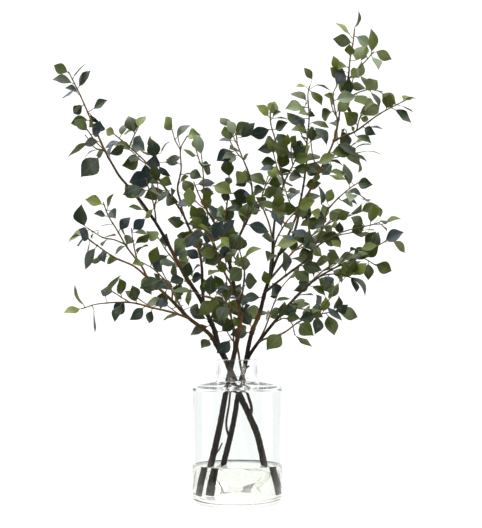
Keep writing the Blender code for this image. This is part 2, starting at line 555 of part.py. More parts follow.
def grow_spurs(owner, shoots, grown, draw):
    """Short leafy spurs at even steps along each bough, turned by the golden angle."""
    for shoot in list(shoots):
        route = shoot["route"]
        count = shoot["spurs"]
        for n in range(count):
            share = 0.30 + 0.6 * (n + draw.uniform(0.2, 0.8)) / count
            at = min(round(share * (len(route) - 1)), len(route) - 2)
            foot = route[at]
            axis = (route[min(at + 1, len(route) - 1)] - route[max(at - 1, 0)]).normalized()
            side, up = across_from(axis)
            for attempt in range(8):
                angle = n * GOLDEN_ANGLE + attempt * 0.8 + draw.uniform(-0.3, 0.3)
                reach = draw.uniform(34, 58)
                out = (side * math.cos(angle) + up * math.sin(angle)) * 0.9 + axis * 0.55
                out = (out + Vector((0, 0, 0.25))).normalized()
                bend = foot + out * reach * 0.5
                end = bend + (out + axis * 0.35 + Vector((0, 0, 0.2))).normalized() * reach * 0.5
                curve = smooth_route([foot, bend, end], reach / 2)
                radii = [1.15 - 0.3 * i / (len(curve) - 1) for i in range(len(curve))]
                points, faces = tube(curve, radii, TWIG_SIDES)
                if end.z > 285 and clear_of(points, faces, owner, grown, False):
                    shoots.append({"route": curve, "radii": radii, "leafy": 0.75, "spurs": 0,
                                   "points": points, "faces": faces})
                    grown.append(Grown(owner, "wood", points, faces))
                    break


def nearest_wood(shoots, target):
    """The shoot, place and radius of the wood that the eye sees nearest to a target."""
    best = None
    for shoot in shoots:
        route = shoot["route"]
        end = route[-2].lerp(route[-1], 1 - ROOT_DEPTH / (route[-1] - route[-2]).length)
        for a, b, radius in zip(route, route[1:-1] + [end], shoot["radii"]):
            for share in (0.0, 0.25, 0.5, 0.75, 1.0):
                place = a.lerp(b, share)
                scale = -EYE.y / (place.y - EYE.y)
                drawn = EYE + (place - EYE) * scale
                gap = math.hypot(drawn.x - target[0], drawn.z - target[1])
                if place.z > 255 and (best is None or gap < best[0]):
                    best = (gap, place, radius)
    return best


def grow_drawn_leaves(owner, shoots, grown, draw):
    """The leaves that are drawn one by one, each rooted in the nearest wood."""
    leaves = []
    for across, height, run, rise in DRAWN_LEAVES[owner]:
        _, root, radius = nearest_wood(shoots, (across, height))
        shown = math.hypot(run, rise)
        length = max(shown * 1.04, draw.uniform(28, 33))
        sideways = math.sqrt(length ** 2 - shown ** 2) * draw.choice((-1, -1, 1))
        base = seen(across, height, root.y)
        tip = seen(across + run, height + rise, root.y + sideways)
        onward = (tip - base).normalized()
        away = base - root
        away += onward * max(0.0, 0.6 * away.length - away.dot(onward))
        reach = radius + PETIOLE_LENGTH
        if away.length < reach:
            away = (onward * 0.7 + away.normalized() * 0.3).normalized() * reach
        base = root + away
        leaf = new_leaf(root, base, tip, outward_at(root), draw)
        view = (base - EYE).normalized()
        if fit_leaf(owner, leaf, grown, draw, (tip - base).cross(view).normalized()):
            leaves.append(leaf)
    return leaves


def grow_leaves(owner, shoots, grown, draw, drawn):
    """The other leaves: by turns round each leafy stretch, and one that ends each twig."""
    leaves = []
    for shoot in shoots:
        if not shoot["leafy"]:
            continue
        route = steps_along(shoot["route"], LEAF_STEP)
        route = route[:-1] if (route[-1] - route[-2]).length > ROOT_DEPTH * 0.8 else route[:-2]
        bare = int((1 - shoot["leafy"]) * len(route))
        step = round(LEAF_GAP / LEAF_STEP)
        turn = draw.uniform(0, math.tau)
        for at in list(range(bare, len(route) - 2, step)) + [len(route) - 1]:
            ending = at == len(route) - 1
            root = route[at]
            if any((root - leaf["root"]).length < DRAWN_LEAF_ROOM for leaf in drawn):
                continue
            axis = (route[at] - route[at - 1]).normalized() if at else (route[1] - route[0]).normalized()
            side, up = across_from(axis)
            turn += math.pi * 0.82
            spread = 0.25 if ending else draw.uniform(0.8, 1.3)
            out = (side * math.cos(turn) + up * math.sin(turn)) * math.sin(spread) + axis * math.cos(spread)
            out = (out + outward_at(root) * 0.15).normalized()
            size = LEAF_LENGTH * draw.uniform(0.78, 1.12) * (0.9 if ending else 1.0)
            radius = shoot["radii"][min(len(shoot["radii"]) - 1, at * len(shoot["radii"]) // len(route))]
            base = root + out * (radius + PETIOLE_LENGTH)
            droop = Vector((0, 0, -draw.uniform(0.0, 0.45)))
            tip = base + (out + droop).normalized() * size
            leaf = new_leaf(root, base, tip, outward_at(root), draw)
            if fit_leaf(owner, leaf, grown, draw, across_from(out)[0]):
                leaves.append(leaf)
    return leaves


def fuse(name, solids, finish):
    """One closed solid from many that overlap, under its node's name."""
    parts = bpy.data.collections.new(name + "_parts")
    bpy.context.scene.collection.children.link(parts)
    for i, (points, faces) in enumerate(solids[1:]):
        add_object(f"{name}_{i}", points, faces, parts)
    made = add_object(name, *solids[0])
    union = made.modifiers.new("grow_together", "BOOLEAN")
    union.operation = "UNION"
    union.operand_type = "COLLECTION"
    union.collection = parts
    union.solver = "MANIFOLD"
    graph = bpy.context.evaluated_depsgraph_get()
    joined = bpy.data.meshes.new_from_object(made.evaluated_get(graph))
    made.modifiers.clear()
    made.data = joined
    for part in list(parts.objects):
        bpy.data.objects.remove(part)
    bpy.data.collections.remove(parts)
    made.data.materials.clear()
    made.data.materials.append(finish)
    return made


def water_with_holes(finish):
    """The water, with a plain hole along each stem that stands in it."""
    water = lathe("water", water_profile(), finish)
    for owner, boughs in BOUGHS.items():
        radius, _, _, _, drawn = boughs[0]
        foot, surface = seen(*drawn[0]), seen(*drawn[1])
        along = (surface - foot).normalized()
        wide = radius * corner_share(BOUGH_SIDES) + STEM_HOLE_GAP
        ends = [foot - along * 12, surface + along * 12]
        points, faces = tube(ends, [wide, wide], HOLE_SIDES)
        cutter = add_object(owner + "_hole", points, faces)
        cutter.hide_render = True
        cutter.display_type = "WIRE"
        cut = water.modifiers.new("stem_hole", "BOOLEAN")
        cut.operation = "DIFFERENCE"
        cut.object = cutter
    return water


for old in list(bpy.data.objects):
    bpy.data.objects.remove(old)

glass = material("clear_glass", GLASS_COLOUR, 0.02, transmission=1.0, ior=1.47)
still_water = material("water", WATER_COLOUR, 0.0, transmission=1.0, ior=1.33)
foliage = material("camellia", LEAF_COLOUR, 0.5)

vase = lathe("vase", vase_profile(), glass)
water_with_holes(still_water)

glass_points = [vertex.co / MM for vertex in vase.data.vertices]
grown = [Grown("vase", "glass", glass_points, [tuple(face.vertices) for face in vase.data.polygons])]
branches = {owner: grow_boughs(owner, grown) for owner in BOUGHS}
draws = {owner: random.Random(SEED + n) for n, owner in enumerate(BOUGHS)}
for owner, shoots in branches.items():
    grow_spurs(owner, shoots, grown, draws[owner])
leaves = {owner: grow_drawn_leaves(owner, branches[owner], grown, draws[owner]) for owner in BOUGHS}
for owner, shoots in branches.items():
    leaves[owner] += grow_leaves(owner, shoots, grown, draws[owner], leaves[owner])
    wood = [(shoot["points"], shoot["faces"]) for shoot in shoots]
    fuse(owner, wood + [leaf_solid(leaf) for leaf in leaves[owner]], foliage)
    print(owner, len(shoots), "shoots", len(leaves[owner]), "leaves")
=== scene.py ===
"""Camellia branches in a clear glass bottle vase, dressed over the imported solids.

Lengths are in millimetres until a mesh is made, and MM brings them to metres.
"""

import math
import random

import bpy
from mathutils import Matrix, Vector
from mathutils.bvhtree import BVHTree


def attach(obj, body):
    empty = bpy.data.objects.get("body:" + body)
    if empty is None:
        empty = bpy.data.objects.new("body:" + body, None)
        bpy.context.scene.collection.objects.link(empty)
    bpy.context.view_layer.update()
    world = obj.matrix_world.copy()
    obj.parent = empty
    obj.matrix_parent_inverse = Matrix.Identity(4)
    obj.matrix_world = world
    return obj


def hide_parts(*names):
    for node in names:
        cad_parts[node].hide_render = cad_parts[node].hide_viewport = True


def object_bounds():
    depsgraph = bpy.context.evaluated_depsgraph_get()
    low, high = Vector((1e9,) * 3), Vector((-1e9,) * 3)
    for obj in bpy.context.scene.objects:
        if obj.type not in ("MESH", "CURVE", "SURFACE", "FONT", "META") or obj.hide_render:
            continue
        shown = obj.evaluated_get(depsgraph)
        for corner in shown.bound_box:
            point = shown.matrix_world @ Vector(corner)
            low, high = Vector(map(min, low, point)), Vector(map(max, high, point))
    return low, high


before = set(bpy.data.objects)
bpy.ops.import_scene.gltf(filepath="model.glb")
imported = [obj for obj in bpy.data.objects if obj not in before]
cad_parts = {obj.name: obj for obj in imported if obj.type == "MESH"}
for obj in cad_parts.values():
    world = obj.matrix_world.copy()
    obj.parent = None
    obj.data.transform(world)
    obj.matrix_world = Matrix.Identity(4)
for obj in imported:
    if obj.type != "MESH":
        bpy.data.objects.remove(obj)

MM = 0.001
cad_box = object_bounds()

# Bottle vase: clear soda-lime glass with a straight body, a nearly flat shoulder and a
# short neck. It is blown in a turning mould, which leaves a bead at the foot of the
# neck, a fire-polished rim and a thick floor. Turned here from one closed profile.
VASE_RADIUS = 76.5
VASE_WALL = 3.6
NECK_RADIUS = 36.0
RIM_HEIGHT = 244.0
NECK_FOOT_HEIGHT = 206.0
INNER_NECK_FOOT_HEIGHT = 203.4
NECK_BEAD = 1.4
SHOULDER_HEIGHT = 192.0
SHOULDER_ROUND = 8.0
INNER_SHOULDER_HEIGHT = 190.0
INNER_SHOULDER_ROUND = 5.0
HEEL_ROUND = 13.0
INNER_HEEL_ROUND = 9.0
FLOOR_THICKNESS = 11.0
FOOT_RING_RADIUS = 60.0
VASE_FINENESS = 6
VASE_AROUND = 144
GLASS_COLOUR = "FBFDFC"
GLASS_IOR = 1.47


def linear(hex_colour):
    """The linear RGBA of an sRGB hex value."""
    parts = [int(hex_colour[i:i + 2], 16) / 255 for i in (0, 2, 4)]
    return [c / 12.92 if c <= 0.04045 else ((c + 0.055) / 1.055) ** 2.4 for c in parts] + [1.0]


def add_node(tree, kind, inputs=(), **settings):
    """A node with its settings; each socket takes a value, an output or a node's first output."""
    node = tree.nodes.new(kind)
    for name, value in settings.items():
        setattr(node, name, value)
    for name, value in dict(inputs).items():
        named = (socket for socket in node.inputs if socket.enabled and socket.name == name)
        socket = node.inputs[name] if isinstance(name, int) else next(named)
        if isinstance(value, bpy.types.Node):
            value = next(output for output in value.outputs if output.enabled)
        if isinstance(value, bpy.types.NodeSocket):
            tree.links.new(value, socket)
        else:
            socket.default_value = value
    return node


def new_material(name, **constants):
    """A Principled material: its tree and its shader, with constant socket values."""
    made = bpy.data.materials.new(name)
    made.use_nodes = True
    shader = made.node_tree.nodes["Principled BSDF"]
    for socket, value in constants.items():
        shader.inputs[socket.replace("_", " ").title().replace("Ior", "IOR")].default_value = value
    return made, made.node_tree, shader


def add_mesh(name, points, faces, edges=()):
    """A mesh object from points in millimetres, at the scene's origin."""
    mesh = bpy.data.meshes.new(name)
    mesh.from_pydata([Vector(p) * MM for p in points], edges, faces)
    made = bpy.data.objects.new(name, mesh)
    bpy.context.scene.collection.objects.link(made)
    return made


def arc(centre, radius, start, end, steps):
    """Profile points (out, height) on an arc, from one angle in degrees to another."""
    angles = [math.radians(start + (end - start) * i / steps) for i in range(steps + 1)]
    return [(centre[0] + radius * math.cos(a), centre[1] + radius * math.sin(a)) for a in angles]


def turned(profile, around):
    """Points and faces turned from a closed profile that starts and ends on the axis."""
    points = [(0, 0, profile[0][1])]
    for out, height in profile[1:-1]:
        for i in range(around):
            angle = math.tau * i / around
            points.append((out * math.cos(angle), out * math.sin(angle), height))
    points.append((0, 0, profile[-1][1]))
    last = len(points) - 1
    top = last - around
    faces = []
    for i in range(around):
        after = (i + 1) % around
        faces.append((0, 1 + after, 1 + i))
        for low in range(1, top, around):
            faces.append((low + i, low + after, low + around + after, low + around + i))
        faces.append((top + i, top + after, last))
    return points, faces


def vase_profile(fine):
    """The glass from the middle of its underside, up the outside, and down the inside."""
    inner = VASE_RADIUS - VASE_WALL
    half_wall = VASE_WALL / 2
    return [
        (0, 0), (FOOT_RING_RADIUS, 0),
        *arc((VASE_RADIUS - HEEL_ROUND, HEEL_ROUND), HEEL_ROUND, -70, 0, 2 * fine),
        *arc((VASE_RADIUS - SHOULDER_ROUND, SHOULDER_HEIGHT), SHOULDER_ROUND, 0, 80, 2 * fine),
        *arc((NECK_RADIUS, NECK_FOOT_HEIGHT + NECK_BEAD), NECK_BEAD, -90, 90, 2 * fine),
        *arc((NECK_RADIUS - half_wall, RIM_HEIGHT - half_wall), half_wall, 0, 180, 3 * fine),
        (NECK_RADIUS - VASE_WALL, INNER_NECK_FOOT_HEIGHT),
        *arc((inner - INNER_SHOULDER_ROUND, INNER_SHOULDER_HEIGHT), INNER_SHOULDER_ROUND, 80, 0, fine),
        *arc((inner - INNER_HEEL_ROUND, FLOOR_THICKNESS + INNER_HEEL_ROUND), INNER_HEEL_ROUND,
             0, -90, 2 * fine),
        (0, FLOOR_THICKNESS),
    ]


WAVE_SPACING = 30 * MM


def clear_material(name, colour, ior, wave_share, wave_height):
    """A clear, mirror smooth material with faint waves that bend what stands behind it."""
    made, tree, shader = new_material(name, base_color=linear(colour), roughness=0.0, ior=ior,
                                      transmission_weight=1.0)
    place = add_node(tree, "ShaderNodeTexCoord")
    waves = add_node(tree, "ShaderNodeTexNoise",
                     {"Vector": place.outputs["Object"], "Scale": 1 / WAVE_SPACING, "Detail": 0.0})
    bump = add_node(tree, "ShaderNodeBump",
                    {"Height": waves.outputs["Fac"], "Strength": wave_share, "Distance": wave_height})
    tree.links.new(bump.outputs["Normal"], shader.inputs["Normal"])
    return made


# Soda-lime glass: almost colourless and mirror smooth, with the faint waves that
# blowing leaves in it
GLASS_WAVE_SHARE = 0.25
GLASS_WAVE_HEIGHT = 0.6 * MM
glass = clear_material("soda_lime_glass", GLASS_COLOUR, GLASS_IOR, GLASS_WAVE_SHARE, GLASS_WAVE_HEIGHT)

bottle = add_mesh("bottle_vase", *turned(vase_profile(VASE_FINENESS), VASE_AROUND))
bottle.data.materials.append(glass)
bottle.data.shade_smooth()
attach(bottle, "root")
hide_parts("vase")

# Water: a still fill that stands on the glass floor and wets the wall, with a raised
# edge all round. Its skin runs just inside the glass, so that light crosses from one
# to the other as where they touch.
WATER_HEIGHT = 65.0
WATER_OVERLAP = 0.15
MENISCUS = 1.1
MENISCUS_REACH = 4.5
WATER_COLOUR = "FCFBF5"
WATER_IOR = 1.333


def water_profile():
    """The water from the middle of the floor, out, up the wall and back over its surface."""
    out = VASE_RADIUS - VASE_WALL + WATER_OVERLAP
    low = FLOOR_THICKNESS - WATER_OVERLAP
    surface = [(out - MENISCUS_REACH * share, WATER_HEIGHT + MENISCUS * (1 - share) ** 2.5)
               for share in (0, 0.12, 0.3, 0.55, 0.8, 1)]
    heel = arc((out - INNER_HEEL_ROUND, low + INNER_HEEL_ROUND), INNER_HEEL_ROUND, -90, 0, 12)
    return [(0, low), *heel, *surface, (0, WATER_HEIGHT)]


# Still water: clear, with a faint straw tint from the cut stems, and with hardly a
# wave on its skin
RIPPLE_SHARE = 0.1
RIPPLE_HEIGHT = 0.2 * MM
water = clear_material("still_water", WATER_COLOUR, WATER_IOR, RIPPLE_SHARE, RIPPLE_HEIGHT)

fill = add_mesh("water_fill", *turned(water_profile(), VASE_AROUND))
fill.data.materials.append(water)
fill.data.shade_smooth()
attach(fill, "root")
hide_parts("water")

# Camellia branches: three cut stems that cross in the neck and fan out above it. The
# boughs and the plainest leaves are drawn as they are seen. Spurs and other leaves grow
# on them by a steady turn from one to the next, clear of all that is there already.
EYE = Vector((6.3, -2150.0, 299.0))
SECTION_LENGTH = 36.0
BOUGH_SIDES = 7
BRANCH_SIDES = 5
TWIG_SIDES = 3
BOUGH_RADIUS = 3.4
BRANCH_RADIUS = 1.9
LEAF_LENGTH = 35.0
LEAF_WIDTH_SHARE = 0.78
LEAF_HALF_THICKNESS = 0.6
LEAF_GAP = 120.0
LEAF_STEP = 3.0
DRAWN_LEAF_ROOM = 18.0
LEAF_CLEARANCE = 0.7
BLADE_RINGS = (0.25, 0.64)
PETIOLE_LENGTH = 4.0
PETIOLE_RADIUS = 0.5
ROOT_DEPTH = 3.0
LOWEST_SPUR = 285.0
LOWEST_LEAF = 255.0
SPUR_REACH = (34, 58)
SPUR_RADIUS = 1.15
SPUR_TAPER = 0.3
SPUR_LEAFY = 0.75
LEAF_TURN = math.pi * 0.82
LEAF_LENGTHS = (28, 33)
GOLDEN_ANGLE = math.radians(137.5)
SEED = 11

# Each bough: radius at its foot and tip, the leafy share of its length counted from
# the tip, the number of short spurs on it, and its route as (across, height, depth)
LEFT = "branch_left"
CENTRE = "branch_centre"
RIGHT = "branch_right"
BOUGHS = {
    LEFT: (
        # The stem through the neck, and the long bough to the top left
        (6.0, 4.8, 0, 0, ((57, 14, 2), (46, 65, 2), (32, 122, 2), (5, 182, 0), (-13, 225, 0),
            (-22, 247, -2), (-36, 270, -4))),
        (4.2, 0.9, 0.3, 2, ((-33, 262, -3), (-38, 290, -2), (-50, 318, 0), (-67, 353, 5), (-88, 384, 5),
            (-127, 456, 0), (-146, 487, -5), (-172, 523, -10), (-201, 556, -14), (-229, 604, -18),
            (-250, 650, -16), (-273, 702, -10), (-291, 738, -6))),
        (1.3, 0.8, 0.7, 0, ((-229, 604, -18), (-246, 608, -30), (-261, 628, -40))),
        # The bough that climbs the middle left
        (2.9, 1.9, 0.25, 1, ((-46, 310, -1), (-56, 330, 14), (-60, 365, 26), (-61, 401, 34),
            (-66, 430, 38), (-79, 460, 40), (-95, 497, 40))),
        (2.0, 0.9, 0.85, 1, ((-95, 497, 40), (-98, 515, 46), (-103, 538, 50), (-97, 570, 52),
            (-98, 605, 50), (-88, 626, 44))),
        (2.0, 0.9, 0.8, 1, ((-93, 495, 40), (-112, 521, 30), (-127, 542, 26), (-153, 578, 20),
            (-189, 612, 12), (-212, 631, 8))),
        (1.2, 0.8, 0.7, 0, ((-186, 610, 12), (-179, 628, 2), (-172, 642, -6))),
        (1.3, 0.8, 0.7, 0, ((-136, 555, 24), (-140, 578, 34), (-141, 599, 40))),
        (1.6, 0.8, 0.6, 0, ((-140, 477, -3), (-143, 505, -26), (-152, 535, -36), (-157, 552, -40))),
        (1.3, 0.8, 0.7, 0, ((-143, 505, -26), (-137, 530, -38), (-138, 549, -44))),
        # The bough that leans out to the left
        (3.8, 2.1, 0, 1, ((-36, 270, -4), (-50, 289, -8), (-84, 315, -16), (-112, 344, -22),
            (-155, 384, -26))),
        (1.9, 0.9, 0.55, 1, ((-152, 382, -26), (-177, 403, -32), (-210, 418, -40), (-241, 439, -44),
            (-265, 458, -46))),
        (1.9, 0.9, 0.55, 1, ((-155, 384, -26), (-165, 404, -18), (-189, 435, -6), (-206, 464, 4),
            (-222, 490, 8), (-230, 511, 10))),
        (1.4, 0.8, 0.6, 0, ((-194, 440, -4), (-212, 449, -16), (-232, 453, -20), (-256, 468, -22))),
        (1.4, 0.8, 0.6, 0, ((-166, 406, -17), (-173, 418, -34), (-179, 444, -46), (-182, 466, -50))),
        (1.6, 0.8, 0.6, 0, ((-112, 344, -22), (-114, 366, -42), (-141, 396, -58), (-162, 409, -64))),
        (2.2, 0.8, 0.6, 1, ((-80, 312, -15), (-91, 317, -30), (-115, 325, -46), (-146, 332, -56),
            (-184, 341, -62), (-236, 339, -64), (-265, 331, -62))),
        # A thin shoot that leaves its stem inside the vase
        (2.7, 1.0, 0.3, 0, ((22, 146, 2), (24, 163, 0), (15, 194, -1), (6, 229, 0), (2, 255, 2),
            (-4, 290, 10), (-14, 325, 18), (-24, 360, 22))),
        # Two boughs that lean away from the eye
        (2.6, 0.9, 0.6, 1, ((-60, 335, 12), (-74, 362, 48), (-92, 395, 84), (-118, 425, 112),
            (-136, 452, 130))),
        (2.0, 0.9, 0.6, 1, ((-84, 315, -16), (-96, 332, 22), (-113, 364, 58), (-128, 392, 84))),
    ),
    CENTRE: (
        # The stem and its trunk
        (6.1, 2.7, 0, 1, ((-57, 12, -14), (-45, 64, -14), (-31, 125, -14), (-19, 191, -14),
            (-10, 232, -14), (-2, 268, -14), (4, 300, -14), (5, 328, -15), (-3, 358, -16),
            (-10, 392, -18), (-14, 414, -20))),
        # A snapped side stub above the water
        (1.8, 1.1, 0, 0, ((-40, 80, -14), (-32, 89, -12), (-27, 99, -10))),
        (2.6, 0.9, 0.8, 1, ((-14, 412, -20), (-21, 435, -28), (-35, 470, -34), (-54, 502, -38),
            (-66, 526, -40), (-74, 546, -42))),
        (1.6, 0.8, 0.85, 0, ((-52, 499, -38), (-58, 520, -52), (-58, 548, -62), (-60, 576, -66),
            (-62, 596, -68))),
        (2.8, 1.8, 0.3, 1, ((-14, 412, -20), (-7, 432, -16), (7, 463, -10), (22, 492, -6))),
        (1.8, 0.9, 0.8, 1, ((20, 488, -7), (26, 520, -12), (22, 556, -18), (10, 588, -22),
            (1, 612, -24), (-2, 632, -24))),
        (1.4, 0.8, 0.6, 0, ((22, 492, -6), (33, 512, -30), (44, 525, -44))),
        (2.0, 0.9, 0.85, 1, ((-12, 400, -19), (-22, 432, 4), (-22, 470, 18), (-18, 510, 26),
            (-14, 545, 28), (-16, 584, 26))),
        (1.6, 0.8, 0.7, 0, ((-10, 388, -18), (-30, 414, -48), (-38, 438, -66), (-44, 458, -76))),
        (1.3, 0.8, 0.7, 0, ((-37, 473, -34), (-56, 468, -60), (-72, 463, -76), (-89, 452, -88))),
        (2.2, 0.9, 0.6, 0, ((3, 336, -15), (10, 366, -52), (12, 398, -84), (4, 430, -108))),
        (2.2, 0.9, 0.6, 2, ((-5, 362, -16), (-22, 392, 16), (-36, 425, 56), (-48, 462, 88),
            (-52, 500, 106))),
        (1.6, 0.8, 0.7, 0, ((5, 322, -15), (-12, 336, -44), (-30, 345, -66), (-52, 352, -84))),
    ),
    RIGHT: (
        # The stem, and the thick bough that rises over the rim
        (5.4, 2.7, 0, 0, ((-33, 15, 14), (-23, 68, 14), (-11, 117, 14), (-4, 151, 14), (1, 182, 14),
            (12, 225, 14), (20, 270, 14), (27, 296, 13), (38, 322, 12), (48, 361, 11), (58, 392, 10),
            (61, 425, 10), (61, 452, 10))),
        (2.3, 0.9, 0.75, 1, ((61, 450, 10), (65, 487, 4), (72, 516, 0), (82, 550, -6), (96, 578, -12),
            (104, 595, -14))),
        (1.8, 0.9, 0.8, 0, ((81, 546, -5), (72, 581, 10), (67, 616, 20), (58, 648, 26), (57, 668, 28))),
        (1.2, 0.8, 0.7, 0, ((73, 577, 8), (77, 592, -10), (81, 608, -18))),
        (1.8, 0.9, 0.5, 1, ((61, 448, 10), (54, 478, 34), (42, 512, 48), (46, 536, 54), (56, 554, 56))),
        # A thin shoot that leaves its stem inside the vase
        (2.1, 0.9, 0.35, 0, ((-13, 108, 14), (-19, 134, 21), (-14, 169, 24), (-9, 229, 24),
            (-6, 262, 27), (-8, 300, 38), (-14, 345, 54), (-20, 390, 66))),
        # The two long shoots to the top right
        (2.5, 0.9, 0.6, 2, ((58, 392, 10), (70, 421, 18), (88, 458, 26), (103, 495, 32), (113, 538, 34),
            (119, 581, 34), (120, 616, 32), (124, 659, 28), (122, 697, 24), (124, 712, 22))),
        (2.5, 1.0, 0.55, 2, ((72, 424, 18), (84, 436, 2), (98, 462, -10), (110, 505, -16),
            (127, 538, -20), (141, 566, -24), (155, 593, -26), (167, 622, -26), (175, 657, -24),
            (180, 695, -22), (192, 730, -20), (195, 760, -18), (200, 788, -16), (203, 812, -15))),
        (1.2, 0.8, 0.7, 0, ((115, 555, 34), (116, 576, 12), (110, 593, 2))),
        (1.3, 0.8, 0.7, 0, ((174, 652, -24), (168, 678, -40), (166, 702, -48), (172, 716, -50))),
        (1.3, 0.8, 0.7, 0, ((179, 685, -22), (195, 703, -6), (200, 728, 2))),
        (1.5, 0.8, 0.6, 0, ((190, 724, -20), (206, 743, -34), (223, 760, -42), (234, 773, -44))),
        (1.3, 0.8, 0.7, 0, ((178, 682, -23), (197, 698, -44), (225, 709, -56), (248, 706, -60))),
        (1.9, 0.8, 0.55, 1, ((167, 620, -26), (186, 629, -46), (206, 638, -58), (246, 667, -66),
            (289, 690, -68))),
        (1.6, 0.8, 0.6, 0, ((119, 578, 34), (146, 585, 54), (177, 593, 68), (210, 600, 76))),
        # The dense middle right
        (2.2, 1.2, 0.7, 1, ((48, 358, 11), (66, 374, -16), (92, 394, -34), (119, 415, -44),
            (134, 440, -50), (146, 468, -54), (156, 506, -56))),
        (1.4, 0.8, 0.65, 0, ((155, 500, -56), (174, 521, -66), (194, 538, -70), (206, 546, -72))),
        (1.2, 0.8, 0.7, 0, ((186, 531, -69), (204, 530, -82), (224, 517, -90))),
        (1.6, 0.8, 0.65, 0, ((130, 432, -48), (150, 446, -70), (172, 456, -82), (196, 461, -90))),
        (1.5, 0.8, 0.65, 0, ((146, 468, -54), (162, 480, -30), (186, 488, -16), (212, 497, -8))),
        (1.4, 0.8, 0.65, 0, ((150, 446, -70), (180, 462, -98), (215, 471, -112), (237, 476, -116))),
        # The long low bough to the right
        (3.3, 1.0, 0.65, 1, ((14, 236, 14), (24, 256, 10), (46, 286, 0), (74, 320, -10),
            (103, 353, -16), (136, 382, -20), (174, 404, -22), (206, 420, -22), (219, 440, -20))),
        (1.3, 0.8, 0.7, 0, ((146, 388, -20), (168, 390, -44), (190, 387, -54))),
        (1.3, 0.8, 0.7, 0, ((196, 414, -22), (216, 417, 4), (236, 406, 14))),
        (1.3, 0.8, 0.7, 0, ((206, 420, -22), (226, 430, -46), (254, 446, -60))),
        (1.9, 0.8, 0.55, 1, ((36, 270, 5), (46, 278, -26), (79, 289, -52), (106, 308, -64),
            (139, 320, -70), (168, 326, -72))),
        (1.3, 0.8, 0.7, 0, ((62, 306, -6), (80, 314, -32), (93, 306, -48), (98, 288, -56))),
        (1.7, 0.8, 0.6, 0, ((34, 268, 6), (48, 298, 34), (60, 332, 56), (74, 364, 72), (92, 386, 82))),
        (1.4, 0.8, 0.65, 0, ((76, 322, -11), (96, 331, 12), (121, 329, 30), (150, 330, 44))),
        # Two boughs that lean away from the eye, and one that leans towards it
        (2.4, 0.9, 0.6, 1, ((53, 378, 10), (74, 402, 48), (98, 430, 88), (128, 456, 118),
            (152, 484, 138))),
        (2.0, 0.9, 0.6, 1, ((104, 354, -16), (122, 372, 24), (148, 396, 58), (178, 416, 84))),
        (2.2, 0.9, 0.6, 1, ((55, 384, 10), (58, 414, -34), (66, 446, -72), (82, 476, -100),
            (104, 502, -118))),
    ),
}

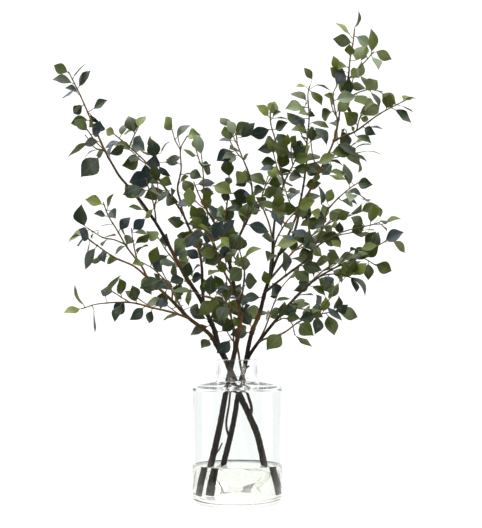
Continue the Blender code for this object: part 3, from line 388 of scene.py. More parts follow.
# Leaves that show plainly: base (across, height), the way to the tip, and the tone
DRAWN_LEAVES = {
    LEFT: (
        (-294, 740, -24, 12, 1.0), (-286, 729, 24, 26, 0.88), (-275, 712, 21, 31, 0.18),
        (-287, 721, -34, 5, 0.18), (-280, 710, -24, -17, 0.0), (-267, 685, -17, -17, 0.0),
        (-248, 676, 24, 15), (-258, 674, 21, -22, 0.18), (-258, 655, -30, -5),
        (-258, 616, -36, -26, 0.0), (-210, 631, -17, 9, 0.88), (-200, 630, 10, 22, 0.5),
        (-172, 642, -28, -12, 0.5), (-173, 643, 15, 20), (-201, 619, -28, -12), (-141, 599, -9, 31),
        (-144, 597, -26, 10), (-131, 599, 19, 22, 0.72), (-98, 607, -3, 33), (-86, 630, 24, 0),
        (-144, 562, -43, -14, 0.0), (-155, 535, -36, -10, 0.18), (-139, 511, 24, 24, 0.18),
        (-81, 538, 0, -33), (-230, 511, -33, 7, 0.88), (-224, 501, 12, 28, 0.0),
        (-263, 473, -5, 38, 0.18), (-256, 468, -36, -26), (-244, 437, -17, -40, 0.18),
        (-230, 435, 2, -26), (-189, 451, -9, 33, 0.88), (-182, 464, 24, 21, 0.0), (-182, 463, 33, -9),
        (-146, 404, 9, 34), (-270, 330, -28, -7, 0.88), (-260, 335, -19, 38), (-246, 329, 2, -40),
        (-227, 349, 28, 40, 0.18), (-205, 346, -28, 22, 0.72), (-198, 341, -12, -34, 0.18),
        (-146, 329, -5, -24), (-144, 334, 26, 7), (-155, 382, 9, -28), (-98, 366, -38, 3),
        (-48, 301, -33, -17), (-46, 280, -16, -18), (-124, 583, 27, 9, 0.18), (-124, 569, -24, 12, 0.8),
        (-138, 580, 24, -22, 0.03), (-110, 564, 36, -5, 0.08), (-107, 547, 24, 12, 0.95),
        (-155, 557, 19, -12, 0.4), (-134, 556, 22, -12, 0.55), (-140, 507, -19, -22, 0.85),
        (-79, 497, -27, -14, 0.1), (-76, 413, -22, 26, 0.25), (-100, 377, -9, 34, 0.85),
        (-91, 368, 9, 43, 0.3), (-83, 370, 0, -36, 0.55), (-90, 344, -15, 10, 0.92),
        (-114, 329, 26, 7, 0.95), (-81, 335, 15, -7, 0.95), (-54, 318, -29, 9, 0.2),
        (-37, 311, 2, 40, 0.78), (-31, 313, 27, 34, 0.3), (-26, 292, 24, 21, 0.3),
        (-79, 382, 22, 3, 0.06), (-76, 378, 15, -12, 0.65), (-19, 292, 24, 24, 0.45),
        (-222, 488, -26, 5, 0.06), (-218, 502, 9, -17, 0.1), (-246, 478, -3, -28, 0.7),
        (-241, 480, 3, -21, 0.15), (-213, 475, -22, -3, 0.08), (-189, 442, -21, -21, 0.18),
        (-222, 452, -10, -15, 0.15), (-230, 451, 22, 5, 0.1), (-266, 451, -7, -14, 0.15),
        (-273, 456, -19, -9, 0.95), (-203, 418, -21, -9, 0.65), (-162, 409, -19, -2, 0.6),
        (-155, 384, -2, -22, 0.45),
    ),
    CENTRE: (
        (-2, 630, -16, 26, 1.0), (7, 626, 24, 26), (24, 559, -28, -16), (24, 559, 28, -16),
        (-12, 411, 36, -5), (15, 476, 40, -14, 0.0), (44, 341, -40, 5, 0.18), (-74, 545, 36, 2, 0.04),
        (-66, 535, 26, -7, 0.15), (-62, 516, 21, 17, 0.6), (-40, 542, 31, -15, 0.65),
        (-13, 518, 24, -14, 0.45), (-7, 530, 36, -10, 0.18), (-28, 501, 36, -3, 0.06),
        (-25, 513, 9, 19, 0.2), (-16, 559, 2, 28, 0.18), (-19, 576, 10, 22, 0.25),
        (-25, 535, 14, 21, 0.2), (-26, 592, 24, -2, 0.55), (5, 578, 15, 21, 0.55),
        (13, 566, 34, -24, 0.4), (10, 566, -12, -21, 0.55), (-42, 418, -29, -14, 0.2),
        (-28, 458, 17, -36, 0.25), (-28, 461, 17, 15, 0.1), (-49, 344, 5, 45, 0.25),
        (-35, 356, 24, 12, 0.08), (-31, 397, -19, -10, 0.6), (6, 322, 17, 15, 0.05),
    ),
    RIGHT: (
        (57, 643, -36, -12), (58, 660, 36, -5), (67, 636, 16, -28), (65, 607, -31, -3),
        (45, 526, 41, -3), (203, 817, 7, 31), (198, 800, -29, 26), (205, 803, 24, -16),
        (205, 759, 22, 33), (234, 774, -3, 43), (240, 776, 28, -14), (232, 769, 12, -26),
        (174, 741, -8, 28, 0.88), (169, 714, 14, 30, 0.0), (132, 724, -17, 24),
        (131, 717, -30, -3, 0.88), (129, 721, 36, -17, 0.0), (124, 709, 22, -28),
        (169, 693, 38, 5, 1.0), (213, 733, 15, -28), (230, 705, 15, -28), (251, 702, 26, -21),
        (208, 662, 38, 19), (186, 685, 12, -38, 0.88), (287, 690, 24, 2), (280, 683, 24, -14),
        (273, 674, 28, -24, 0.18), (224, 645, 28, -5), (222, 602, 30, -9), (208, 590, 0, -26),
        (158, 561, 31, -9), (193, 542, -10, 40, 0.18), (208, 547, 26, -3), (179, 516, 28, -7, 0.0),
        (229, 476, 3, 38), (249, 480, -9, 28), (255, 476, 28, 8), (251, 447, 36, 15, 0.0),
        (268, 446, 20, -20), (243, 439, -31, -7), (201, 389, 22, 20, 0.88), (191, 387, 28, -36, 0.18),
        (196, 384, 8, -26, 0.18), (174, 372, -19, -24), (143, 382, 26, -19, 0.88),
        (136, 320, -31, -9, 0.18), (148, 322, 3, 30), (174, 325, 33, -9), (139, 320, -7, -34, 0.18),
        (156, 318, 10, -34), (76, 287, -26, -28), (100, 284, 28, -19), (43, 284, -31, -14, 0.88),
        (57, 344, 36, 3, 0.18), (62, 452, 46, -34, 0.18), (46, 535, 39, -2, 0.35),
        (49, 545, 31, 3, 0.4), (42, 530, -15, 10, 0.85), (108, 595, -29, -3, 0.12),
        (108, 595, -2, 28, 0.92), (60, 554, 5, 17, 0.88), (61, 451, 33, -29, 0.2),
        (188, 561, -31, 5, 0.5), (144, 509, -5, 34, 0.2), (154, 513, 9, 24, 0.6),
        (193, 494, 21, 19, 0.45), (243, 485, 19, -15, 0.15), (238, 482, 19, -19, 0.5),
        (211, 463, 26, 2, 0.7), (205, 420, -29, -2, 0.22), (169, 415, -14, 17, 0.12),
        (123, 468, -7, -34, 0.18), (138, 458, 14, -22, 0.5), (156, 452, 22, -17, 0.7),
        (121, 516, -9, -33, 0.08), (142, 492, -17, 5, 0.88), (154, 483, -7, 28, 0.7),
        (190, 492, -29, 7, 0.5), (130, 483, -22, -10, 0.3), (130, 470, 22, 2, 0.15),
        (173, 483, -19, -17, 0.82), (178, 452, -2, 24, 0.2), (108, 408, 38, -12, 0.28),
        (135, 409, 26, 7, 0.5), (187, 387, -7, 24, 0.55), (197, 389, 5, 26, 0.45),
        (217, 523, -27, 10, 0.1), (217, 521, 7, -7, 0.1), (197, 452, -5, 21, 0.85),
        (54, 667, 10, 17, 0.85), (58, 657, 22, 15, 0.5), (66, 640, 22, 12, 0.2),
        (113, 678, -31, -3, 0.95), (113, 674, 5, 14, 0.05), (121, 669, -22, -2, 0.95),
        (121, 657, 3, 17, 0.04), (116, 659, -22, -10, 0.04), (123, 640, -31, -2, 0.45),
        (126, 652, 33, -10, 0.45), (132, 643, 22, -31, 0.12), (164, 621, 9, 17, 0.75),
        (130, 544, 10, 22, 0.6), (161, 583, -17, -22, 0.1), (193, 748, -19, -5, 0.55),
        (211, 743, -14, -14, 0.55), (205, 662, 22, -5, 0.9), (193, 698, -15, 17, 1.0),
        (219, 642, 22, -12, 0.18), (199, 621, -17, 21, 0.1), (207, 624, -10, 22, 0.72),
        (199, 607, 34, 5, 0.25), (205, 602, 14, 36, 0.2), (173, 614, 31, -19, 0.2),
        (205, 595, -17, 17, 0.92), (205, 593, 19, -9, 0.6), (32, 316, 19, 9, 0.1),
        (56, 368, -10, 28, 0.65), (89, 341, 9, -12, 0.45), (123, 378, -27, -17, 0.35),
        (90, 378, 17, 26, 0.8), (20, 294, -33, -9, 0.12), (20, 298, -12, 29, 0.2),
        (185, 375, -14, 10, 0.5), (142, 320, -7, 19, 0.15), (142, 334, -7, 21, 0.1),
        (164, 329, 10, 24, 0.3), (168, 327, 21, 10, 0.2),
    ),
}


def seen(across, height, depth):
    """The point at a depth that the eye sees at (across, height) of the vase's axis plane."""
    drawn = Vector((across, 0.0, height))
    return EYE + (drawn - EYE) * ((depth - EYE.y) / -EYE.y)


def smooth_route(points, step):
    """Points a step apart on the smooth curve through the route's own points."""
    ends = [points[0] * 2 - points[1]] + points + [points[-1] * 2 - points[-2]]
    route = []
    for a, b, c, d in zip(ends, ends[1:], ends[2:], ends[3:]):
        pieces = max(1, round((c - b).length / step))
        for i in range(pieces):
            t = i / pieces
            route.append(((b * 2) + (c - a) * t + (a * 2 - b * 5 + c * 4 - d) * t ** 2
                          + (b * 3 - a - c * 3 + d) * t ** 3) / 2)
    return route + [points[-1]]


def steps_along(route, step):
    """Points at even steps along the straight sections of a route."""
    steps = []
    for a, b in zip(route, route[1:]):
        pieces = max(1, round((b - a).length / step))
        steps += [a.lerp(b, i / pieces) for i in range(pieces)]
    return steps + [route[-1]]


def across_from(axis):
    """Two directions at right angles to an axis and to each other."""
    side = axis.cross(Vector((0.31, 0.17, 0.93)))
    side.normalize()
    return side, axis.cross(side).normalized()


def corner_share(sides):
    """How far out a polygon's corners stand, against the circle of the same area."""
    return math.sqrt(math.tau / (sides * math.sin(math.tau / sides)))


def tube(route, radii, sides):
    """A closed tube of (points, faces) along a route, with a radius at each point."""
    points = []
    wider = corner_share(sides)
    side = None
    for i, centre in enumerate(route):
        axis = (route[min(i + 1, len(route) - 1)] - route[max(i - 1, 0)]).normalized()
        if side is None:
            side, _ = across_from(axis)
        side = (side - axis * side.dot(axis)).normalized()
        up = axis.cross(side)
        for k in range(sides):
            angle = math.tau * k / sides
            points.append(centre + (side * math.cos(angle) + up * math.sin(angle)) * radii[i] * wider)
    faces = [tuple(reversed(range(sides)))]
    for i in range(len(route) - 1):
        for k in range(sides):
            after = (k + 1) % sides
            low = i * sides
            faces.append((low + k, low + after, low + sides + after, low + sides + k))
    faces.append(tuple(range(len(points) - sides, len(points))))
    return points, faces


def outline_share(along):
    """A leaf's half width at a share of its length, against its widest."""
    return math.sin(math.pi * along ** 0.8) ** 0.9 * (1 - 0.3 * along ** 4)


def leaf_solid(leaf, swell=0.0):
    """A closed blade on its petiole: points and faces, split alike above and below."""
    base, tip, normal = leaf["base"], leaf["tip"], leaf["normal"]
    chord = tip - base
    side = chord.normalized().cross(normal)
    half = leaf["width"] / 2 + swell
    thick = LEAF_HALF_THICKNESS + swell
    points = []
    stalk = base - leaf["root"]
    stalk_side = (side - stalk.normalized() * side.dot(stalk.normalized())).normalized()
    stalk_up = stalk_side.cross(stalk).normalized()
    points += [leaf["root"] + stalk_up * PETIOLE_RADIUS, leaf["root"] - stalk_up * PETIOLE_RADIUS]
    for along in BLADE_RINGS:
        middle = base + chord * along + normal * leaf["arch"] * 4 * along * (1 - along)
        reach = half * outline_share(along)
        lift = normal * leaf["fold"] * reach
        points += [middle - side * reach + lift, middle + normal * thick,
                   middle + side * reach + lift, middle - normal * thick]
    points.append(tip)
    faces = [(0, 3, 2), (0, 2, 1), (1, 2, 5), (0, 4, 3), (0, 1, 4), (1, 5, 4)]
    faces += [(2, 3, 7), (2, 7, 6), (3, 4, 7), (4, 8, 7), (4, 5, 9), (4, 9, 8), (5, 2, 9), (2, 6, 9)]
    faces += [(6, 7, 10), (7, 8, 10), (8, 9, 10), (9, 6, 10)]
    return points, faces


class Grown:
    """A solid already in place, kept to see what a new one would run into."""

    def __init__(self, owner, kind, points, faces):
        self.owner = owner
        self.kind = kind
        self.tree = BVHTree.FromPolygons(points, faces)
        self.low = [min(p[i] for p in points) for i in range(3)]
        self.high = [max(p[i] for p in points) for i in range(3)]

    def meets(self, other):
        apart = any(self.high[i] < other.low[i] or other.high[i] < self.low[i] for i in range(3))
        return not apart and bool(self.tree.overlap(other.tree))


def clear_of(points, faces, owner, grown, own_wood):
    """Whether a solid misses all that is in place, its own branch's wood aside if asked."""
    new = Grown(owner, "new", points, faces)
    return not any(new.meets(other) for other in grown
                   if own_wood or other.owner != owner or other.kind == "leaf")


def fit_leaf(owner, leaf, grown, draw, bend_tip):
    """Turns and tilts a leaf until its blade is clear, and says whether it came to fit."""
    chord = leaf["tip"] - leaf["base"]
    first = leaf["normal"]
    for attempt in range(12):
        if attempt:
            turn = Matrix.Rotation(draw.uniform(-0.9, 0.9), 3, chord.normalized())
            leaf["normal"] = turn @ first
            tilt = Matrix.Rotation(draw.uniform(-0.5, 0.5), 3, bend_tip)
            leaf["tip"] = leaf["base"] + tilt @ chord * (1 - 0.02 * attempt)
        direction = (leaf["tip"] - leaf["base"]).normalized()
        leaf["normal"] = (leaf["normal"] - direction * leaf["normal"].dot(direction)).normalized()
        points, faces = leaf_solid(leaf, LEAF_CLEARANCE)
        blade = [f for f in faces if min(f) >= 2]
        if not clear_of(points, blade, owner, grown, True):
            continue
        if clear_of(points, faces, owner, [g for g in grown if g.owner != owner], True):
            points, faces = leaf_solid(leaf)
            grown.append(Grown(owner, "leaf", points, faces))
            return True
    return False


def facing(direction, outward, draw):
    """A leaf's upper side: it looks up and outward, turned a little by chance."""
    normal = Vector((0, 0, 0.45)) + outward
    normal = normal - direction * normal.dot(direction)
    if normal.length < 0.2:
        normal, _ = across_from(direction)
    return Matrix.Rotation(draw.gauss(0, 0.4), 3, direction) @ normal.normalized()


def new_leaf(root, base, tip, outward, draw):
    """A leaf's own sizes, drawn near those of its kind."""
    chord = tip - base
    length = chord.length
    return {
        "root": root, "base": base, "tip": tip,
        "normal": facing(chord.normalized(), outward, draw),
        "width": length * LEAF_WIDTH_SHARE * draw.uniform(0.88, 1.1),
        "arch": length * draw.uniform(0.02, 0.17),
        "fold": draw.uniform(-0.15, 0.4),
    }


def outward_at(point):
    """The level direction from the middle of the spray, which shifts to a bough's side."""
    away = Vector((point.x * 0.45, point.y - 70.0, 0.0))
    return away.normalized() if away.length > 1 else Vector((0, -1, 0))


def sides_for(radius):
    """The number of sides of a tube, more for thicker wood."""
    if radius >= BOUGH_RADIUS:
        return BOUGH_SIDES
    return BRANCH_SIDES if radius >= BRANCH_RADIUS else TWIG_SIDES


def on_wood(shoots, point):
    """The place on the wood grown so far that is nearest to a point."""
    best = point
    least = math.inf
    for shoot in shoots:
        for a, b in zip(shoot["route"], shoot["route"][1:]):
            share = min(1.0, max(0.0, (point - a).dot(b - a) / (b - a).length_squared))
            place = a.lerp(b, share)
            if (place - point).length < least:
                best, least = place, (place - point).length
    return best


def grow_boughs(owner, grown):
    """The wood of one branch as drawn: a list of shoots with their routes and radii."""
    shoots = []
    for foot_radius, tip_radius, leafy, spurs, drawn in BOUGHS[owner]:
        points = [seen(*p) for p in drawn]
        points[0] = on_wood(shoots, points[0])
        route = smooth_route(points, SECTION_LENGTH)
        last = len(route) - 1
        radii = [foot_radius + (tip_radius - foot_radius) * i / last for i in range(last + 1)]
        points, faces = tube(route, radii, sides_for(foot_radius))
        shoots.append({"route": route, "radii": radii, "leafy": leafy, "spurs": spurs,
                       "points": points, "faces": faces})
        grown.append(Grown(owner, "wood", points, faces))
    return shoots


def grow_spurs(owner, shoots, grown, draw, start):
    """Short leafy spurs at even steps along each bough, turned by the golden angle."""
    for shoot in list(shoots):
        route = shoot["route"]
        count = shoot["spurs"]
        for n in range(count):
            share = start + (0.9 - start) * (n + draw.uniform(0.2, 0.8)) / count
            at = min(round(share * (len(route) - 1)), len(route) - 2)
            foot = route[at]
            axis = (route[min(at + 1, len(route) - 1)] - route[max(at - 1, 0)]).normalized()
            side, up = across_from(axis)
            for attempt in range(8):
                angle = n * GOLDEN_ANGLE + attempt * 0.8 + draw.uniform(-0.3, 0.3)
                reach = draw.uniform(*SPUR_REACH)
                out = (side * math.cos(angle) + up * math.sin(angle)) * 0.9 + axis * 0.55
                out = (out + Vector((0, 0, 0.25))).normalized()
                bend = foot + out * reach * 0.5
                end = bend + (out + axis * 0.35 + Vector((0, 0, 0.2))).normalized() * reach * 0.5
                curve = smooth_route([foot, bend, end], reach / 2)
                radii = [SPUR_RADIUS - SPUR_TAPER * i / (len(curve) - 1) for i in range(len(curve))]
                points, faces = tube(curve, radii, TWIG_SIDES)
                if end.z > LOWEST_SPUR and clear_of(points, faces, owner, grown, False):
                    shoots.append({"route": curve, "radii": radii, "leafy": SPUR_LEAFY, "spurs": 0,
                                   "points": points, "faces": faces})
                    grown.append(Grown(owner, "wood", points, faces))
                    break


def nearest_wood(shoots, target):
    """The shoot, place and radius of the wood that the eye sees nearest to a target."""
    best = None
    for shoot in shoots:
        route = shoot["route"]
        end = route[-2].lerp(route[-1], 1 - ROOT_DEPTH / (route[-1] - route[-2]).length)
        for a, b, radius in zip(route, route[1:-1] + [end], shoot["radii"]):
            for share in (0.0, 0.25, 0.5, 0.75, 1.0):
                place = a.lerp(b, share)
                scale = -EYE.y / (place.y - EYE.y)
                drawn = EYE + (place - EYE) * scale
                gap = math.hypot(drawn.x - target[0], drawn.z - target[1])
                if place.z > LOWEST_LEAF and (best is None or gap < best[0]):
                    best = (gap, place, radius)
    return best


def grow_drawn_leaves(owner, shoots, grown, draw, drawn, outward):
    """The leaves that are drawn one by one, each rooted in the nearest wood."""
    leaves = []
    for across, height, run, rise, *tone in drawn:
        _, root, radius = nearest_wood(shoots, (across, height))
        shown = math.hypot(run, rise)
        length = max(shown * 1.04, draw.uniform(*LEAF_LENGTHS))
        sideways = math.sqrt(length ** 2 - shown ** 2) * draw.choice((-1, -1, 1))
        base = seen(across, height, root.y)
        tip = seen(across + run, height + rise, root.y + sideways)
        onward = (tip - base).normalized()
        away = base - root
        away += onward * max(0.0, 0.6 * away.length - away.dot(onward))
        reach = radius + PETIOLE_LENGTH
        if away.length < reach:
            away = (onward * 0.7 + away.normalized() * 0.3).normalized() * reach
        base = root + away
        leaf = new_leaf(root, base, tip, outward(root), draw)
        view = (base - EYE).normalized()
        if fit_leaf(owner, leaf, grown, draw, (tip - base).cross(view).normalized()):
            leaf.update({"tone": tone[0]} if tone else {})
            leaves.append(leaf)
    return leaves


def grow_leaves(owner, shoots, grown, draw, drawn, gap, room, outward):
    """The other leaves: by turns round each leafy stretch, and one that ends each twig."""
    leaves = []
    for shoot in shoots:
        if not shoot["leafy"]:
            continue
        route = steps_along(shoot["route"], LEAF_STEP)
        route = route[:-1] if (route[-1] - route[-2]).length > ROOT_DEPTH * 0.8 else route[:-2]
        bare = int((1 - shoot["leafy"]) * len(route))
        step = round(gap / LEAF_STEP)
        turn = draw.uniform(0, math.tau)
        for at in list(range(bare, len(route) - 2, step)) + [len(route) - 1]:
            ending = at == len(route) - 1
            root = route[at]
            if any((root - leaf["root"]).length < room for leaf in drawn):
                continue
            axis = (route[max(at, 1)] - route[max(at, 1) - 1]).normalized()
            side, up = across_from(axis)
            turn += LEAF_TURN
            spread = 0.25 if ending else draw.uniform(0.8, 1.3)
            out = (side * math.cos(turn) + up * math.sin(turn)) * math.sin(spread)
            out = (out + axis * math.cos(spread) + outward(root) * 0.15).normalized()
            size = LEAF_LENGTH * draw.uniform(0.78, 1.12) * (0.9 if ending else 1.0)
            radii = shoot["radii"]
            radius = radii[min(len(radii) - 1, at * len(radii) // len(route))]
            base = root + out * (radius + PETIOLE_LENGTH)
            droop = Vector((0, 0, -draw.uniform(0.0, 0.45)))
            tip = base + (out + droop).normalized() * size
            leaf = new_leaf(root, base, tip, outward(root), draw)
            if fit_leaf(owner, leaf, grown, draw, across_from(out)[0]):
                leaves.append(leaf)
    return leaves


# The same draws as the solids', in the same order, so that every bough, twig and leaf
# stands where its solid does
SEAT_VASE_AROUND = 40
SPUR_START = 0.30
seat_points, seat_faces = turned(vase_profile(1), SEAT_VASE_AROUND)
grown = [Grown("vase", "glass", [Vector(p) for p in seat_points], seat_faces)]
branches = {owner: grow_boughs(owner, grown) for owner in BOUGHS}
draws = {owner: random.Random(SEED + n) for n, owner in enumerate(BOUGHS)}
for owner, shoots in branches.items():
    grow_spurs(owner, shoots, grown, draws[owner], SPUR_START)
leaves = {}
for owner, shoots in branches.items():
    leaves[owner] = grow_drawn_leaves(owner, shoots, grown, draws[owner], DRAWN_LEAVES[owner], outward_at)
for owner, shoots in branches.items():
    leaves[owner] += grow_leaves(owner, shoots, grown, draws[owner], leaves[owner], LEAF_GAP,
                                 DRAWN_LEAF_ROOM, outward_at)

# Finer growth: more spurs and leaves in the leafy parts of the same boughs, each clear
# of all that stands already and inside the solids' own reach, and a snapped stub on each
# of two stems
SPUR_SPACING = 130.0
LEAFY_START = 0.55
FINE_LEAF_GAP = 15.0
FINE_LEAF_ROOM = 10.0
FINE_LEAVES = {
    LEFT: (
        (-261, 673, 16, -28, 0.08), (-272, 631, 5, 23, 0.1), (-254, 628, 22, 13, 0.02),
        (-286, 730, 24, 22, 0.45), (-280, 712, -23, -19, 0.02), (-266, 685, -17, -18, 0.05),
        (-227, 604, -17, -10, 0.4), (-240, 590, -30, -33, 0.15),
        (-141, 585, -9, 43, 0.12), (-141, 590, -29, 17, 0.1), (-133, 595, 21, 26, 0.62),
        (-165, 538, -33, -12, 0.15), (-49, 311, -33, 14, 0.12), (-98, 580, -26, 10, 0.1),
    ),
    CENTRE: (
        (-11, 552, -9, 41, 0.35), (-81, 542, -3, -38, 0.65), (-9, 399, -29, 5, 0.72),
        (1, 344, -33, -21, 0.2), (5, 292, -12, 26, 0.5), (22, 311, -15, 22, 0.12),
        (-52, 370, 38, -9, 0.15), (-43, 415, -26, -9, 0.2),
    ),
    RIGHT: (
        (130, 722, 31, -15, 0.08), (123, 707, 26, -31, 0.15), (188, 683, 5, -36, 0.7),
        (243, 679, -34, -14, 0.42), (197, 617, -17, 24, 0.12), (205, 628, 27, -14, 0.35),
        (221, 600, 26, -10, 0.6), (205, 595, 3, -22, 0.6), (284, 690, 15, 7, 0.72),
        (147, 509, -7, 34, 0.12), (180, 516, 24, -14, 0.4), (231, 480, 0, 33, 0.45),
        (221, 473, -26, 15, 0.3), (231, 463, -29, -7, 0.55), (217, 444, 24, -7, 0.1),
        (145, 483, 19, 21, 0.75), (168, 483, 26, 14, 0.6), (154, 473, -19, -5, 0.15),
        (156, 458, 22, -19, 0.62),
        (42, 349, -36, -3, 0.15), (85, 356, -29, -5, 0.15), (42, 284, -27, -14, 0.66),
    ),
}
SNAPPED_STUBS = {
    LEFT: (2.3, 1.7, ((51, 38, 2), (45, 43, 0), (38, 46, -2))),
    RIGHT: (2.0, 1.6, ((14, 226, 14), (18, 229, 14), (21, 230, 14))),
}


def within_reach(point):
    """Whether a point lies inside the solids' box."""
    return all(low <= x * MM <= high for x, low, high in zip(point, *cad_box))


def towards_eye(point):
    """The way from a point to the eye, for leaves that show their upper side to it."""
    return (EYE - point).normalized()


for number, (owner, shoots) in enumerate(branches.items()):
    draw = random.Random(SEED + 40 + number)
    more = grow_drawn_leaves(owner, shoots, grown, draw, FINE_LEAVES[owner], towards_eye)
    leaves[owner] += [leaf for leaf in more if within_reach(leaf["tip"])]
    for shoot in shoots:
        length = sum((b - a).length for a, b in zip(shoot["route"], shoot["route"][1:]))
        shoot["spurs"] = round(length * shoot["leafy"] / SPUR_SPACING)
    first_new = len(shoots)
    grow_spurs(owner, shoots, grown, draw, LEAFY_START)
    shoots[first_new:] = [shoot for shoot in shoots[first_new:] if within_reach(shoot["route"][-1])]
    more = grow_leaves(owner, shoots, grown, draw, leaves[owner], FINE_LEAF_GAP, FINE_LEAF_ROOM,
                       towards_eye)
    leaves[owner] += [leaf for leaf in more if within_reach(leaf["tip"])]
for owner, (foot_radius, tip_radius, drawn) in SNAPPED_STUBS.items():
    branches[owner].append({"route": [seen(*p) for p in drawn], "radii": [foot_radius, tip_radius]})

# Bark: smooth and green on this year's twigs, olive brown on last year's, and dark
# grey-brown with fine long cracks on the old stems. Swollen where a leaf or a twig
# comes out, and closed by a scaly bud at each tip.
FINE_STEP = 4.0
WOOD_SIDES = 12
YOUNG_RADIUS = 0.85
OLD_RADIUS = 3.6
COLLAR_LENGTH = 9.0
COLLAR_SWELL = 0.35
NODE_REACH = 2.6
NODE_SWELL = 0.3
BUD_LIMIT = 1.2
BUD = ((0.8, 1.15), (1.8, 1.3), (3.0, 0.95), (4.0, 0.25))
KNOB_SPACING = 5 * MM
UNEVENNESS = 0.35


def wood_line(shoot, roots):
    """A shoot's fine route, with the radius and age of the wood at each of its points."""
    coarse, thick = shoot["route"], shoot["radii"]
    route = smooth_route(coarse, FINE_STEP)
    run = [0.0]
    for a, b in zip(route, route[1:]):
        run.append(run[-1] + (b - a).length)
    radii = []
    ages = []
    for point, along in zip(route, run):
        radius = thick[0] + (thick[-1] - thick[0]) * along / run[-1]
        ages.append(min(1.0, max(0.0, (radius - YOUNG_RADIUS) / (OLD_RADIUS - YOUNG_RADIUS))))
        near = min(((point - root).length for root in roots), default=math.inf)
        radius *= 1 + NODE_SWELL * math.exp(-(near / NODE_REACH) ** 2)
        if shoot is not shoot["branch"][0]:
            radius *= 1 + COLLAR_SWELL * max(0.0, 1 - along / COLLAR_LENGTH) ** 2
        radii.append(radius)
    if thick[-1] < BUD_LIMIT:
        tip = route[-1]
        onward = (route[-1] - route[-2]).normalized()
        for reach, swell in BUD:
            route.append(tip + onward * reach)
            radii.append(thick[-1] * swell)
            ages.append(0.0)
    return route, radii, ages


def named_inputs(tree, sockets):
    """Adds a group's geometry sockets and its named inputs, and gives their identifiers."""
    interface = tree.interface
    interface.new_socket("Geometry", in_out="INPUT", socket_type="NodeSocketGeometry")
    interface.new_socket("Geometry", in_out="OUTPUT", socket_type="NodeSocketGeometry")
    return {name: interface.new_socket(name, in_out="INPUT", socket_type="NodeSocket" + kind).identifier
            for name, kind in sockets.items()}


def made_by(tree, identifiers, piece, values):
    """Runs a node tree on a piece with these inputs, and keeps its result as plain mesh."""
    grower = piece.modifiers.new("grow", "NODES")
    grower.node_group = tree
    for name, value in values.items():
        grower[identifiers[name]] = value
    bpy.context.view_layer.update()
    graph = bpy.context.evaluated_depsgraph_get()
    finished = bpy.data.meshes.new_from_object(piece.evaluated_get(graph))
    piece.modifiers.remove(grower)
    piece.data = finished


tree = bpy.data.node_groups.new("Wood along its lines", "GeometryNodeTree")
wood_tree = tree
wood_inputs = named_inputs(tree, {"Sides": "Int", "Unevenness": "Float", "Bark": "Material"})
given = add_node(tree, "NodeGroupInput")
line = add_node(tree, "GeometryNodeMeshToCurve", {"Mesh": given.outputs["Geometry"]})
thickness = add_node(tree, "GeometryNodeInputNamedAttribute",
                     {"Name": "thickness"}, data_type="FLOAT")
along = add_node(tree, "GeometryNodeSplineParameter")
line = add_node(tree, "GeometryNodeStoreNamedAttribute",
                {"Geometry": line, "Name": "run", "Value": along.outputs["Length"]},
                data_type="FLOAT", domain="POINT")
ring = add_node(tree, "GeometryNodeCurvePrimitiveCircle",
                {"Resolution": given.outputs["Sides"], "Radius": 1.0})
turn = add_node(tree, "GeometryNodeSplineParameter")
ring = add_node(tree, "GeometryNodeStoreNamedAttribute",
                {"Geometry": ring.outputs["Curve"], "Name": "turn", "Value": turn.outputs["Factor"]},
                data_type="FLOAT", domain="POINT")
skin = add_node(tree, "GeometryNodeCurveToMesh",
                {"Curve": line, "Profile Curve": ring, "Scale": thickness, "Fill Caps": True})
knobs = add_node(tree, "ShaderNodeTexNoise", {"Scale": 1 / KNOB_SPACING, "Detail": 1.0})
uneven = add_node(tree, "ShaderNodeMath", {0: knobs.outputs["Fac"], 1: 0.5}, operation="SUBTRACT")
uneven = add_node(tree, "ShaderNodeMath",
                  {0: uneven, 1: given.outputs["Unevenness"]}, operation="MULTIPLY")
lift = add_node(tree, "ShaderNodeMath", {0: uneven, 1: thickness}, operation="MULTIPLY")
normal = add_node(tree, "GeometryNodeInputNormal")
offset = add_node(tree, "ShaderNodeVectorMath",
                  {0: normal.outputs["Normal"], 1: lift}, operation="MULTIPLY")
skin = add_node(tree, "GeometryNodeSetPosition", {"Geometry": skin, "Offset": offset})
skin = add_node(tree, "GeometryNodeSetShadeSmooth", {"Geometry": skin})
skin = add_node(tree, "GeometryNodeRealizeInstances", {"Geometry": skin})
skin = add_node(tree, "GeometryNodeSetMaterial",
                {"Geometry": skin, "Material": given.outputs["Bark"]})
add_node(tree, "NodeGroupOutput", {"Geometry": skin})

# Camellia bark: a thin dull skin whose colour tells its age, with cracks that run
# along the wood and pale cork specks
BARK_YOUNG = "746A3C"
BARK_MIDDLE = "66543C"
BARK_OLD = "2F231C"
BARK_CORK = "6E6358"
BARK_TAN = "8A6634"
TAN_SPACING = 90 * MM
BLOTCH_SPACING = 14 * MM
SPECK_SPACING = 3.2 * MM
SPECK_REACH = 0.16
CRACKS_AROUND = 14.0
CRACKS_ALONG = 90.0
CRACK_LEVEL = 0.56
CRACK_SHARE = 0.5
CRACK_DEPTH = 0.3 * MM
bark, tree, shader = new_material("camellia_bark", roughness=0.7, specular_ior_level=0.3)
place = add_node(tree, "ShaderNodeTexCoord").outputs["Object"]
age = add_node(tree, "ShaderNodeAttribute", attribute_name="age").outputs["Fac"]
blotches = add_node(tree, "ShaderNodeTexNoise",
                    {"Vector": place, "Scale": 1 / BLOTCH_SPACING, "Detail": 3.0})
spread = add_node(tree, "ShaderNodeMath",
                  {0: blotches.outputs["Fac"], 1: 0.55, 2: -0.275}, operation="MULTIPLY_ADD")
mottled = add_node(tree, "ShaderNodeMath", {0: age, 1: spread}, operation="ADD")
ramp = add_node(tree, "ShaderNodeValToRGB", {"Fac": mottled})
